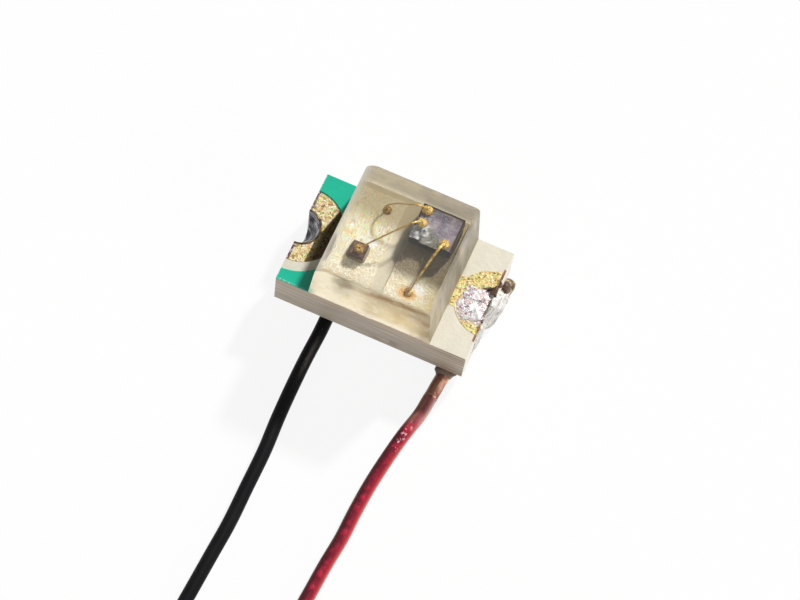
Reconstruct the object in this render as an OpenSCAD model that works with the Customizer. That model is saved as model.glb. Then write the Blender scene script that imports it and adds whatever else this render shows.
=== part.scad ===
// Surface-mount chip LED with a flasher die, pre-wired with two enamelled magnet-wire leads.
// X runs along the board, +X towards the end that carries the red lead.
// The leads run off towards -Y, and +Z is up. The origin is on the surface that the part
// lies on, under the middle of the board.

/* [Board] */
// Length of the board
board_l = 2.0; // [1.8:0.05:2.4]
// Width of the board
board_w = 1.24; // [1.1:0.02:1.5]
// Thickness of the laminate
board_t = 0.43; // [0.3:0.01:0.6]
// Radius of the half-round notch drilled in each end
notch_r = 0.2; // [0.15:0.01:0.25]
// Thickness of the metal plated on a notch's wall
plating_t = 0.02; // [0.01:0.005:0.04]

/* [Foil] */
// Thickness of the gold-plated foil on both faces
foil_t = 0.02; // [0.01:0.005:0.04]
// Radius of the round pad about the left notch
left_pad_r = 0.4; // [0.35:0.01:0.5]
// Radius of the round pad about the right notch
right_pad_r = 0.36; // [0.35:0.01:0.4]
// How far both round pads sit off the middle of the board
end_pad_shift = 0.02; // [0:0.01:0.04]
// Width of the gap between the two foils under the lens
foil_gap = 0.14; // [0.1:0.01:0.2]
// Where the middle of that gap lies along the board
foil_gap_x = -0.055; // [-0.08:0.005:-0.03]
// Bare border between the foils and the ends of the lens
foil_border = 0.06; // [0.04:0.01:0.08]
// Bare border between the foils and the long edges of the board
foil_margin = 0.01; // [0.01:0.01:0.03]
// Bare border behind the left foil
left_foil_margin = 0.07; // [0.01:0.01:0.09]
// Width of the trace from each round pad to the foil under the lens
trace_w = 0.34; // [0.2:0.02:0.5]
// Length of each solder pad under the board
under_pad_l = 0.66; // [0.62:0.01:0.75]
// Width of each solder pad under the board
under_pad_w = 1.04; // [0.9:0.02:1.1]

/* [Solder mask] */
// Thickness of the green mask
mask_t = 0.015; // [0.01:0.005:0.02]
// Radius of the round opening in the mask
mask_open_r = 0.45; // [0.44:0.01:0.5]
// How far that opening sits off the middle of the board
mask_open_shift = -0.04; // [-0.06:0.005:-0.03]

/* [Lens] */
// Length of the lens where it meets the board
lens_l = 1.28; // [1.2:0.02:1.4]
// Height of the lens above the board
lens_h = 0.62; // [0.5:0.02:0.8]
// How far each sloping end of the lens leans in
lens_lean = 0.05; // [0.03:0.01:0.08]
// Radius along the upper left edge
lens_left_r = 0.15; // [0.1:0.01:0.18]
// Radius along the upper right edge
lens_right_r = 0.05; // [0.03:0.01:0.1]
// Where the middle of the lens lies along the board
lens_x = -0.02; // [-0.04:0.01:0.02]

/* [Dies] */
// Length of the flasher die along the board
flasher_l = 0.43; // [0.38:0.01:0.46]
// Width of the flasher die
flasher_w = 0.38; // [0.34:0.01:0.4]
// Thickness of the flasher die
flasher_t = 0.22; // [0.15:0.01:0.26]
// Gap between the flasher die and the back of the board
flasher_margin = 0.06; // [0.04:0.01:0.08]
// Gap between the flasher die and the edge of its foil
flasher_inset = 0.015; // [0.01:0.005:0.03]
// Depth of the chip broken off the flasher die's front edge
chip_depth = 0.05; // [0.03:0.005:0.07]
// Length of that chip along the edge
chip_l = 0.18; // [0.1:0.01:0.25]
// Side of the square light-emitting die
emitter_w = 0.155; // [0.12:0.005:0.18]
// Thickness of the light-emitting die
emitter_t = 0.1; // [0.08:0.01:0.14]
// How far the middle of the light-emitting die is from the gap between the foils
emitter_inset = 0.23; // [0.18:0.01:0.3]
// Where the middle of the light-emitting die lies across the board
emitter_y = -0.125; // [-0.2:0.005:-0.1]
// Thickness of the silver adhesive under both dies
adhesive_t = 0.01; // [0.005:0.005:0.02]
// How far the adhesive squeezes out round a die
adhesive_rim = 0.02; // [0.01:0.005:0.03]

/* [Bond wires] */
// Diameter of the gold bond wire
bond_wire_d = 0.03; // [0.02:0.005:0.035]
// Diameter of a ball bond
ball_d = 0.1; // [0.08:0.005:0.11]
// Height of a ball bond
ball_h = 0.05; // [0.04:0.005:0.06]
// Space between a ball bond and the edges of its die
ball_margin = 0.01; // [0.005:0.005:0.03]
// Space between the two ball bonds at the flasher die's left edge
ball_gap = 0.045; // [0.02:0.005:0.06]
// Radius of a stitch bond on the foil
stitch_r = 0.04; // [0.03:0.005:0.05]
// Height of a stitch bond
stitch_h = 0.03; // [0.02:0.005:0.04]
// Height of a bond wire's loop above the flasher die
loop_h = 0.13; // [0.1:0.01:0.16]

/* [Leads] */
// Diameter of the enamelled wire, and of the tinned wire in the joints
lead_d = 0.14; // [0.12:0.01:0.18]
// Diameter of the tinned free ends
tip_d = 0.13; // [0.1:0.01:0.14]
// Length of the tinned free ends
tip_l = 3.0; // [2:0.1:4]
// Length of the black wire soldered under its pad
black_joint_l = 0.75; // [0.6:0.05:0.9]
// Length of bare red wire in front of the board
red_bare_l = 0.3; // [0.2:0.05:0.4]

/* [Coils] */
// Length of the straight enamelled tail between a coil and its tinned end
tail_l = 2.0; // [1.9:0.1:4]
// Radius at the middle of a coil's turns
coil_r = 1.13; // [1.1:0.01:1.2]
// Number of turns side by side
coil_columns = 5; // [4:1:6]
// Number of layers of turns
coil_rows = 4; // [4:1:5]
// Thickness of the paper tie round a coil
tie_t = 0.02; // [0.02:0.005:0.04]
// Width of the tie
tie_w = 0.3; // [0.2:0.05:0.4]

/* [Solder] */
// How far the right joint bulges past the end of the board
bulge = 0.1; // [0.05:0.01:0.11]
// Width of that bulge, from the middle of the notch to the wire
bulge_w = 0.32; // [0.25:0.01:0.35]
// Height of the solder spilt on the right round pad
spill_h = 0.05; // [0.03:0.01:0.07]
// Radius of the solder spilt on the right round pad
spill_r = 0.25; // [0.2:0.01:0.27]
// How far the left joint's solder is set back from the end of the board
notch_set_back = 0.02; // [0.01:0.005:0.04]
// Depth of the hollow in the left joint's surface
hollow_h = 0.33; // [0.2:0.01:0.35]
// Radius of that hollow at its foot
hollow_foot_r = 0.06; // [0.04:0.01:0.08]

/* [Hidden] */

// Heights, from the surface upwards
under_z = lead_d;                      // underside of the solder pads, resting on the leads
board_z = under_z + foil_t;            // underside of the laminate
top_z = board_z + board_t;             // top of the laminate
foil_z = top_z + foil_t;               // top of the upper foils
die_z = foil_z + adhesive_t;           // underside of both dies
flasher_z = die_z + flasher_t;         // top of the flasher die
emitter_z = die_z + emitter_t;         // top of the light-emitting die
lens_top_z = top_z + lens_h;

end_x = board_l / 2;
side_y = board_w / 2;
barrel_r = notch_r - plating_t;        // open radius of a plated notch
lens_left = lens_x - lens_l / 2;
left_foil_x = foil_gap_x - foil_gap / 2;
right_foil_x = foil_gap_x + foil_gap / 2;

// Dies, set out from the foils that carry them
flasher_left = right_foil_x + flasher_inset;
flasher_back = side_y - flasher_margin;
flasher_front = flasher_back - flasher_w;
flasher_at = [flasher_left + flasher_l / 2, (flasher_back + flasher_front) / 2];
emitter_at = [left_foil_x - emitter_inset, emitter_y];

// Bonds, set out from the dies and foils
ball_inset = ball_d / 2 + ball_margin;
supply_ball = [flasher_left + ball_inset, flasher_back - ball_inset];
emitter_ball = [flasher_left + ball_inset, supply_ball[1] - ball_d - ball_gap];
return_ball = [flasher_left + flasher_l * 0.8, flasher_front + ball_inset];
supply_stitch = [(emitter_at[0] + left_foil_x) / 2 - stitch_r, side_y * 0.65];
return_stitch = [flasher_at[0], -side_y * 0.5];

eps = 0.01;                            // how far a cutter runs past a face
round_steps = 8;                       // straight steps in each rounded edge of the lens

// Joints: the wires lie under the board, on the surface
lead_z = lead_d / 2;
black_inner = [-end_x + under_pad_l - lead_d * 0.8, 0.25, lead_z];
black_start = black_inner - [0, black_joint_l, 0];
red_stub = [end_x + lead_d * 0.35, side_y - lead_d * 0.35, lead_z];
red_exit = [end_x - lead_d * 1.2, -side_y, lead_z];
red_bare = red_exit + [-0.1, -1, 0] * red_bare_l;

// Coils: an even layout of turns, one wire diameter apart
turn_pitch = lead_d + 0.003;
row_pitch = lead_d * 0.9;
coil_half = turn_pitch * coil_columns / 2 + 0.04;
coil_in = coil_r - coil_half;
coil_out = coil_r + coil_half;
coil_z = tie_t;
coil_h = lead_d + (coil_rows - 1) * row_pitch + 0.01;

// Each lead's run to the side of its coil, as places and heights above where it lies flat
black_places = [[-0.45, -0.75, 0], [-0.46, -1.05, 0], [-0.46, -1.40, 0], [-0.45, -1.75, 0],
    [-0.43, -2.10, 0], [-0.43, -2.50, 0], [-0.43, -2.90, 0], [-0.45, -3.25, 0],
    [-0.47, -3.60, 0], [-0.49, -3.95, 0], [-0.50, -4.30, 0.01], [-0.50, -4.65, 0.03],
    [-0.50, -5.00, 0.07], [-0.50, -5.35, 0.13], [-0.50, -5.70, 0.21], [-0.50, -6.05, 0.29],
    [-0.50, -6.40, 0.36], [-0.50, -6.80, 0.39]];
red_places = [[0.78, -1.12, 0], [0.72, -1.38, 0], [0.67, -1.68, 0], [0.63, -2.00, 0],
    [0.61, -2.30, 0], [0.60, -2.60, 0], [0.57, -2.90, 0], [0.55, -3.20, 0],
    [0.53, -3.50, 0.02], [0.51, -3.80, 0.08], [0.50, -4.10, 0.18], [0.50, -4.40, 0.29],
    [0.50, -4.70, 0.36], [0.50, -5.00, 0.39]];
function laid(places) = [for (p = places) p + [0, 0, lead_z]];
black_route = concat([black_start], laid(black_places));
red_route = concat([red_bare], laid(red_places));

// Each coil lies beside the end of its lead, the black one to the left and the red one to the right
function last(list) = list[len(list) - 1];
function coil_centre(route, side) = [last(route)[0] + side * (coil_out + lead_d / 2), last(route)[1]];
black_coil_at = coil_centre(black_route, -1);
red_coil_at = coil_centre(red_route, 1);

// --- Helpers ---

function unit(v) = v / norm(v);
function heading(path, i) =
    unit(path[min(i + 1, len(path) - 1)] - path[max(i - 1, 0)]);
function ring(centre, along, side, r, sides) =
    let (s = unit(side - along * (side * along)), u = cross(s, along))
    [for (k = [0 : sides - 1]) centre + r * (cos(360 * k / sides) * s + sin(360 * k / sides) * u)];

// A round wire swept along a path; side is any direction that the path never runs along
module wire(path, d, side = [1, 0, 0], sides = 8) {
    count = len(path);
    points = [for (i = [0 : count - 1]) each ring(path[i], heading(path, i), side, d / 2, sides)];
    walls = [for (i = [0 : count - 2], k = [0 : sides - 1])
        let (a = i * sides + k, b = i * sides + (k + 1) % sides)
        [a, b, b + sides, a + sides]];
    near_end = [for (k = [sides - 1 : -1 : 0]) k];
    far_end = [for (k = [0 : sides - 1]) (count - 1) * sides + k];
    polyhedron(points, concat([near_end], walls, [far_end]), convexity = 10);
}

// A rod between two points
module rod(from, to, d) {
    along = to - from;
    flat = norm([along[0], along[1]]);
    translate(from)
        rotate([0, atan2(flat, along[2]), atan2(along[1], along[0])])
            cylinder(h = norm(along), d = d, $fn = 48);
}

module board_outline() {
    square([board_l, board_w], center = true);
}

module notches(r) {
    for (side = [-1, 1])
        translate([side * end_x, 0]) circle(r = r, $fn = 48);
}

// --- Board ---

module substrate() {
    color("wheat")
        translate([0, 0, board_z])
            linear_extrude(board_t)
                difference() {
                    board_outline();
                    notches(notch_r);
                }
}

// Mask lies on bare laminate at the left end, outside its opening and the round pad
module mask_patch(side) {
    color("mediumseagreen")
        translate([0, 0, top_z])
            linear_extrude(mask_t)
                difference() {
                    intersection() {
                        board_outline();
                        translate([-end_x, side > 0 ? 0 : -side_y])
                            square([lens_left + end_x, side_y]);
                    }
                    translate([-end_x, mask_open_shift]) circle(r = mask_open_r, $fn = 48);
                    translate([-end_x, end_pad_shift]) circle(r = left_pad_r, $fn = 48);
                }
}

module solder_mask_back() {
    mask_patch(1);
}

module solder_mask_front() {
    mask_patch(-1);
}

// --- Foils and plating ---

// A round pad on one end, joined by a trace to the foil under the lens
module foil_outline(end, inner_x) {
    outer_x = lens_x + end * (lens_l / 2 - foil_border);
    pad_r = end > 0 ? right_pad_r : left_pad_r;
    back_margin = end > 0 ? foil_margin : left_foil_margin;
    difference() {
        union() {
            intersection() {
                translate([end * end_x, end_pad_shift]) circle(r = pad_r, $fn = 48);
                board_outline();
            }
            translate([min(outer_x, end * end_x), end_pad_shift - trace_w / 2])
                square([abs(end * end_x - outer_x), trace_w]);
            translate([min(inner_x, outer_x), foil_margin - side_y])
                square([abs(outer_x - inner_x), board_w - foil_margin - back_margin]);
        }
        notches(notch_r);
    }
}

module top_foil(end, inner_x, drop = 0) {
    color("gold")
        translate([0, 0, top_z - drop])
            linear_extrude(foil_t + drop) foil_outline(end, inner_x);
}

module left_top_foil(drop = 0) {
    top_foil(-1, left_foil_x, drop);
}

module right_top_foil(drop = 0) {
    top_foil(1, right_foil_x, drop);
}

module notch_plating(end) {
    color("goldenrod")
        translate([0, 0, under_z])
            linear_extrude(foil_z - under_z)
                intersection() {
                    board_outline();
                    translate([end * end_x, 0])
                        difference() {
                            circle(r = notch_r, $fn = 48);
                            circle(r = barrel_r, $fn = 48);
                        }
                }
}

module left_notch_plating() {
    notch_plating(-1);
}

module right_notch_plating() {
    notch_plating(1);
}

module under_pad(end) {
    color("gold")
        translate([0, 0, under_z])
            linear_extrude(foil_t)
                difference() {
                    translate([end > 0 ? end_x - under_pad_l : -end_x, -under_pad_w / 2])
                        square([under_pad_l, under_pad_w]);
                    notches(notch_r);
                }
}

module left_under_pad() {
    under_pad(-1);
}

module right_under_pad() {
    under_pad(1);
}

// --- Dies ---

module slab(at, size, z, t) {
    translate([at[0] - size[0] / 2, at[1] - size[1] / 2, z])
        cube([size[0], size[1], t]);
}

module flasher_block() {
    slab(flasher_at, [flasher_l, flasher_w], die_z, flasher_t);
}

// The front left edge of the flasher die is chipped
module flasher_die() {
    color("slateblue")
        difference() {
            flasher_block();
            translate([flasher_left - eps, flasher_front, flasher_z])
                rotate([45, 0, 0])
                    translate([0, -chip_depth, -chip_depth])
                        cube([chip_l + eps, 2 * chip_depth, 2 * chip_depth]);
        }
}

module emitter_die() {
    color("saddlebrown")
        slab(emitter_at, [emitter_w, emitter_w], die_z, emitter_t);
}

module flasher_adhesive() {
    color("silver")
        slab(flasher_at, [flasher_l + adhesive_rim, flasher_w + adhesive_rim], foil_z, adhesive_t);
}

module emitter_adhesive() {
    color("silver")
        slab(emitter_at, [emitter_w + 2 * adhesive_rim, emitter_w + 2 * adhesive_rim],
            foil_z, adhesive_t);
}

// --- Bond wires ---

// A flattened gold ball that sits on a die
module ball(at, z) {
    translate([at[0], at[1], z])
        intersection() {
            translate([0, 0, ball_h / 2]) sphere(d = ball_d, $fn = 24);
            translate([-ball_d, -ball_d, 0]) cube([2 * ball_d, 2 * ball_d, ball_h]);
        }
}

// A low round stitch that sits on a foil
module stitch(at) {
    translate([at[0], at[1], foil_z])
        cylinder(h = stitch_h, r1 = stitch_r, r2 = stitch_r * 0.6, $fn = 24);
}

// A point on a loop: a share of the way from one bond to the other, at a height
function on_loop(from, to, share, z) =
    [from[0] + (to[0] - from[0]) * share, from[1] + (to[1] - from[1]) * share, z];

ball_top = ball_h - bond_wire_d / 3;
loop_z = flasher_z + loop_h;

// Height of a falling loop between the top of the loop and its far end
function fall(share, low) = low + (loop_z - low) * cos(90 * share);

module supply_bond_wire() {
    low = foil_z + stitch_h - bond_wire_d / 3;
    color("gold") {
        ball(supply_ball, flasher_z);
        stitch(supply_stitch);
        wire([on_loop(supply_ball, supply_stitch, 0, flasher_z + ball_top),
            on_loop(supply_ball, supply_stitch, 0.02, flasher_z + ball_top + 0.04),
            on_loop(supply_ball, supply_stitch, 0.1, loop_z - 0.02),
            on_loop(supply_ball, supply_stitch, 0.25, loop_z),
            on_loop(supply_ball, supply_stitch, 0.5, fall(0.2, low)),
            on_loop(supply_ball, supply_stitch, 0.75, fall(0.35, low)),
            on_loop(supply_ball, supply_stitch, 0.93, fall(0.5, low)),
            on_loop(supply_ball, supply_stitch, 1.03, fall(0.65, low)),
            on_loop(supply_ball, supply_stitch, 1.05, fall(0.8, low)),
            on_loop(supply_ball, supply_stitch, 1.02, fall(0.92, low)),
            on_loop(supply_ball, supply_stitch, 1, low)], bond_wire_d, [0, 1, 0]);
    }
}

module emitter_bond_wire() {
    low = emitter_z + ball_top;
    color("gold") {
        ball(emitter_ball, flasher_z);
        ball(emitter_at, emitter_z);
        wire([on_loop(emitter_ball, emitter_at, 0, flasher_z + ball_top),
            on_loop(emitter_ball, emitter_at, 0.01, flasher_z + ball_top + 0.04),
            on_loop(emitter_ball, emitter_at, 0.07, loop_z - 0.02),
            on_loop(emitter_ball, emitter_at, 0.18, loop_z),
            on_loop(emitter_ball, emitter_at, 0.36, fall(0.36, low)),
            on_loop(emitter_ball, emitter_at, 0.55, fall(0.55, low)),
            on_loop(emitter_ball, emitter_at, 0.72, fall(0.7, low)),
            on_loop(emitter_ball, emitter_at, 0.87, fall(0.85, low)),
            on_loop(emitter_ball, emitter_at, 0.95, fall(0.94, low)),
            on_loop(emitter_ball, emitter_at, 1, low)], bond_wire_d, [-0.7, 0.7, 0]);
    }
}

module return_bond_wire() {
    low = foil_z + stitch_h - bond_wire_d / 3;
    color("gold") {
        ball(return_ball, flasher_z);
        stitch(return_stitch);
        wire([on_loop(return_ball, return_stitch, 0, flasher_z + ball_top),
            on_loop(return_ball, return_stitch, 0.01, flasher_z + ball_top + 0.04),
            on_loop(return_ball, return_stitch, 0.07, loop_z - 0.02),
            on_loop(return_ball, return_stitch, 0.18, loop_z),
            on_loop(return_ball, return_stitch, 0.36, fall(0.36, low)),
            on_loop(return_ball, return_stitch, 0.55, fall(0.55, low)),
            on_loop(return_ball, return_stitch, 0.72, fall(0.7, low)),
            on_loop(return_ball, return_stitch, 0.87, fall(0.85, low)),
            on_loop(return_ball, return_stitch, 1, low)], bond_wire_d, [1, 0, 0]);
    }
}

// --- Lens ---

lean_a = atan(lens_lean / lens_h);

// Half of the lens's section, from the foot up round its upper edge
function lens_half(side, r) =
    let (edge_x = lens_l / 2 - (r + (lens_h - r) * sin(lean_a)) / cos(lean_a))
    [for (k = [0 : round_steps])
        let (a = lean_a + (90 - lean_a) * k / round_steps)
        [side * (edge_x + r * cos(a)), lens_h - r + r * sin(a)]];
function backwards(list) = [for (i = [len(list) - 1 : -1 : 0]) list[i]];

module lens_body() {
    translate([lens_x, side_y, top_z])
        rotate([90, 0, 0])
            linear_extrude(board_w)
                polygon(concat([[-lens_l / 2, 0], [lens_l / 2, 0]],
                    lens_half(1, lens_right_r), backwards(lens_half(-1, lens_left_r))));
}

// The lens is cast over everything on the board's face and fills in round it
module lens() {
    color([0.86, 0.84, 0.76, 0.5])
        difference() {
            lens_body();
            left_top_foil(eps);
            right_top_foil(eps);
            flasher_adhesive();
            emitter_adhesive();
            flasher_die();
            emitter_die();
            supply_bond_wire();
            emitter_bond_wire();
            return_bond_wire();
        }
}

// --- Solder ---

// Radius of the sphere whose cap has this radius and height
function cap_sphere(r, h) = (r * r + h * h) / (2 * h);

// Solder hanging from the pad under one end, as deep as the wires
module under_cap(end, x, r) {
    intersection() {
        translate([end * x, 0, cap_sphere(r, under_z)])
            sphere(r = cap_sphere(r, under_z), $fn = 96);
        translate([end > 0 ? end_x - under_pad_l : -end_x, -under_pad_w / 2, 0])
            cube([under_pad_l, under_pad_w, under_z]);
    }
}

// Solder in a notch, flush with the round pad and set back from the end of the board
module notch_fill(end, set_back = 0) {
    translate([0, 0, under_z])
        linear_extrude(foil_z - under_z)
            intersection() {
                square([board_l - 2 * set_back, board_w], center = true);
                translate([end * end_x, 0]) circle(r = barrel_r, $fn = 48);
            }
}

// The left joint reaches up its notch and is hollow above
module left_solder_joint() {
    color("dimgray")
        difference() {
            union() {
                under_cap(-1, end_x - under_pad_l * 0.6, under_pad_l * 0.58);
                notch_fill(-1, notch_set_back);
                // the foot of the notch, down to the cap
                intersection() {
                    translate([-end_x, 0, 0]) cylinder(h = under_z, r = barrel_r, $fn = 48);
                    translate([notch_set_back - end_x, -side_y, under_z / 2])
                        cube([side_y, board_w, under_z / 2]);
                }
            }
            translate([-end_x, 0, foil_z - hollow_h])
                cylinder(h = hollow_h + eps, r1 = hollow_foot_r, r2 = barrel_r * 0.92, $fn = 48);
            black_wire_end();
        }
}

// Solder spilt on the right round pad
module spill() {
    translate([end_x, 0, foil_z])
        intersection() {
            translate([-spill_r / 4, 0, spill_h - cap_sphere(spill_r, spill_h)])
                sphere(r = cap_sphere(spill_r, spill_h), $fn = 96);
            translate([-end_x, -side_y, 0]) cube([end_x, board_w, spill_h]);
        }
}

// Solder that bulges down the end of the board, from the notch to the wire
module end_bulge() {
    intersection() {
        hull() {
            translate([end_x, 0, foil_z - bulge]) sphere(r = bulge * 0.7, $fn = 24);
            translate([end_x, 0, bulge]) sphere(r = bulge * 0.7, $fn = 24);
            translate([end_x, bulge_w, bulge + foil_t]) sphere(r = bulge, $fn = 24);
        }
        translate([end_x, -side_y, 0]) cube([2 * bulge, board_w, lens_top_z]);
    }
}

// The right joint fills its notch, spills over the pad and bulges past the end of the board
module right_solder_joint() {
    color("lightgray")
        difference() {
            union() {
                under_cap(1, end_x - under_pad_l / 2, under_pad_l / 2);
                notch_fill(1);
                spill();
                end_bulge();
            }
            red_wire_end();
            right_top_foil();
        }
}

// --- Wire ends in the joints ---

module black_wire_end() {
    color("lightgray") rod(black_start, black_inner, lead_d);
}

module red_wire_end() {
    color("peru") {
        rod(red_bare, red_exit, lead_d);
        translate(red_exit) sphere(d = lead_d, $fn = 48);
        rod(red_exit, red_stub, lead_d);
    }
}

// --- Free leads ---

module black_lead() {
    color([0.09, 0.09, 0.11]) wire(black_route, lead_d);
}

module red_lead() {
    color([0.62, 0.07, 0.12]) wire(red_route, lead_d);
}

module coil(at) {
    corner = 0.06;
    translate([at[0], at[1], coil_z])
        rotate_extrude($fn = 96)
            polygon([[coil_in + corner, 0], [coil_out - corner, 0], [coil_out, corner],
                [coil_out, coil_h - corner], [coil_out - corner, coil_h],
                [coil_in + corner, coil_h], [coil_in, coil_h - corner], [coil_in, corner]]);
}

module black_coil() {
    color([0.09, 0.09, 0.11]) coil(black_coil_at);
}

module red_coil() {
    color([0.62, 0.07, 0.12]) coil(red_coil_at);
}

// A paper strip wrapped once round a coil, on the side away from the board
module coil_tie(at) {
    slack = 0.02;
    inner = coil_in - slack;
    outer = coil_out;
    color("cornsilk")
        translate([at[0] - tie_w / 2, at[1], 0])
            difference() {
                translate([0, -outer - tie_t, 0])
                    cube([tie_w, outer - inner + 2 * tie_t, coil_h + 2 * tie_t]);
                translate([-eps, -outer, tie_t])
                    cube([tie_w + 2 * eps, outer - inner, coil_h]);
            }
}

module black_coil_tie() {
    coil_tie(black_coil_at);
}

module red_coil_tie() {
    coil_tie(red_coil_at);
}

// The point where a wire that lies on the surface leaves the left side of a coil
function coil_left(at) = [at[0] - coil_out - lead_d / 2, at[1], 0];

// A tail runs straight off its coil, and its tinned end carries on in line, both on the surface
module tail(at, way) {
    wire([for (share = [0, 0.5, 1]) coil_left(at) + [0, way * tail_l * share, lead_z]], lead_d);
}

module tip(at, way) {
    color("silver")
        rod(coil_left(at) + [0, way * tail_l, tip_d / 2],
            coil_left(at) + [0, way * (tail_l + tip_l), tip_d / 2], tip_d);
}

module black_tail() {
    color([0.09, 0.09, 0.11]) tail(black_coil_at, 1);
}

module red_tail() {
    color([0.62, 0.07, 0.12]) tail(red_coil_at, -1);
}

module black_tip() {
    tip(black_coil_at, 1);
}

module red_tip() {
    tip(red_coil_at, -1);
}

substrate();
solder_mask_back();
solder_mask_front();
left_top_foil();
right_top_foil();
left_notch_plating();
right_notch_plating();
left_under_pad();
right_under_pad();
lens();
flasher_die();
emitter_die();
flasher_adhesive();
emitter_adhesive();
supply_bond_wire();
emitter_bond_wire();
return_bond_wire();
left_solder_joint();
right_solder_joint();
black_wire_end();
red_wire_end();
black_lead();
red_lead();
black_coil();
red_coil();
black_coil_tie();
red_coil_tie();
black_tail();
red_tail();
black_tip();
red_tip();
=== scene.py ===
import math

import bmesh
import bpy
from bpy.props import FloatProperty, FloatVectorProperty, IntProperty, PointerProperty
from mathutils import Matrix, Vector, noise


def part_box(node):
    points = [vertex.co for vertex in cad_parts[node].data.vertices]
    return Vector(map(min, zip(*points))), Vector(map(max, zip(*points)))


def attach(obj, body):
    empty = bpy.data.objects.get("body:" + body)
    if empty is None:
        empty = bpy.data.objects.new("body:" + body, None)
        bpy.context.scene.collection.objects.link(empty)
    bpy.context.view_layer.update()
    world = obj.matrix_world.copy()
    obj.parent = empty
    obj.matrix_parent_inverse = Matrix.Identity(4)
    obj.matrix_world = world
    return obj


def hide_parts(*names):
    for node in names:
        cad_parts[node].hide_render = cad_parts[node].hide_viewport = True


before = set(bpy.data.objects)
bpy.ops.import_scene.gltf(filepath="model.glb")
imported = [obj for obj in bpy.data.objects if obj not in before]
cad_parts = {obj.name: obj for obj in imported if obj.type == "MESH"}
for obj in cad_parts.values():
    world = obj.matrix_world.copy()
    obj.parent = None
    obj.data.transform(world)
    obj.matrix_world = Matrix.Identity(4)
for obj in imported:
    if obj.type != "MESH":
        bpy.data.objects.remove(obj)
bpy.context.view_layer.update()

bl_info = {
    "name": "Pre-wired chip LED",
    "version": (1, 0, 0),
    "blender": (4, 5, 0),
    "location": "3D View > Sidebar > Chip LED",
    "description": "Dresses a surface-mount LED that comes with two magnet-wire leads",
    "category": "Object",
}

MM = 0.001
BODY = "root"
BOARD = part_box("substrate")
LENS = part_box("lens")
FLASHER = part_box("flasher_die")
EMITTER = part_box("emitter_die")
LEFT_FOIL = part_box("left_top_foil")
RIGHT_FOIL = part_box("right_top_foil")
LEFT_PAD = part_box("left_under_pad")
RIGHT_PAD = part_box("right_under_pad")
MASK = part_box("solder_mask_back")
BOARD_TOP = BOARD[1].z
FOIL_TOP = LEFT_FOIL[1].z
HALF_LENGTH = BOARD[1].x
HALF_WIDTH = BOARD[1].y
PAD_TOP = BOARD_TOP + 0.004 * MM

# How far pieces that touch run into one another
OVERLAP = 0.004 * MM

# The same places in millimetres, for the finishes
TOP_MM, END_MM, SIDE_MM = BOARD_TOP / MM, HALF_LENGTH / MM, HALF_WIDTH / MM

# How far the edges of sawn pieces, foils, the lens and the paper ties are rounded
SAWN_EDGE, FOIL_EDGE, LENS_EDGE, PAPER_EDGE = 0.006 * MM, 0.005 * MM, 0.012 * MM, 0.003 * MM

# What the camera looks at, and the way from the part to each lamp with its spread in degrees
AIM = Vector((0.163, -0.244, 0.434)) * MM
LAMPS = {"key": ((0.222, 0.735, 0.640), 5), "side": ((0.90, -0.20, 0.32), 25),
         "front": ((-0.10, -0.90, 0.30), 40)}
FLOOR_REACH = 120 * MM

# Each lead's run over the surface, in millimetres, as the part's source lays it
BLACK_PLACES = [
    (-0.45, -0.75, 0), (-0.46, -1.05, 0), (-0.46, -1.40, 0), (-0.45, -1.75, 0),
    (-0.43, -2.10, 0), (-0.43, -2.50, 0), (-0.43, -2.90, 0), (-0.45, -3.25, 0),
    (-0.47, -3.60, 0), (-0.49, -3.95, 0), (-0.50, -4.30, 0.01), (-0.50, -4.65, 0.03),
    (-0.50, -5.00, 0.07), (-0.50, -5.35, 0.13), (-0.50, -5.70, 0.21), (-0.50, -6.05, 0.29),
    (-0.50, -6.40, 0.36), (-0.50, -6.80, 0.39)]
RED_PLACES = [
    (0.78, -1.12, 0), (0.72, -1.38, 0), (0.67, -1.68, 0), (0.63, -2.00, 0),
    (0.61, -2.30, 0), (0.60, -2.60, 0), (0.57, -2.90, 0), (0.55, -3.20, 0),
    (0.53, -3.50, 0.02), (0.51, -3.80, 0.08), (0.50, -4.10, 0.18), (0.50, -4.40, 0.29),
    (0.50, -4.70, 0.36), (0.50, -5.00, 0.39)]


# --- Sizes and colours ---

def length(name, description, millimetres):
    """A length that the user can change."""
    return FloatProperty(name=name, description=description, default=millimetres * MM,
                         min=0, precision=5, subtype="DISTANCE", unit="LENGTH")


def colour(name, description, value):
    """A colour that the user can change."""
    return FloatVectorProperty(name=name, description=description, default=value,
                               size=3, min=0, max=1, subtype="COLOR")


def scaled(shade, share):
    """A colour made darker or lighter."""
    return tuple(min(c * share, 1) for c in shade)


def in_mm(box):
    """A box's two corners in millimetres."""
    return [corner / MM for corner in box]


def halved(box):
    """A box's middle and half its size."""
    return (box[0] + box[1]) / 2, (box[1] - box[0]) / 2


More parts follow.
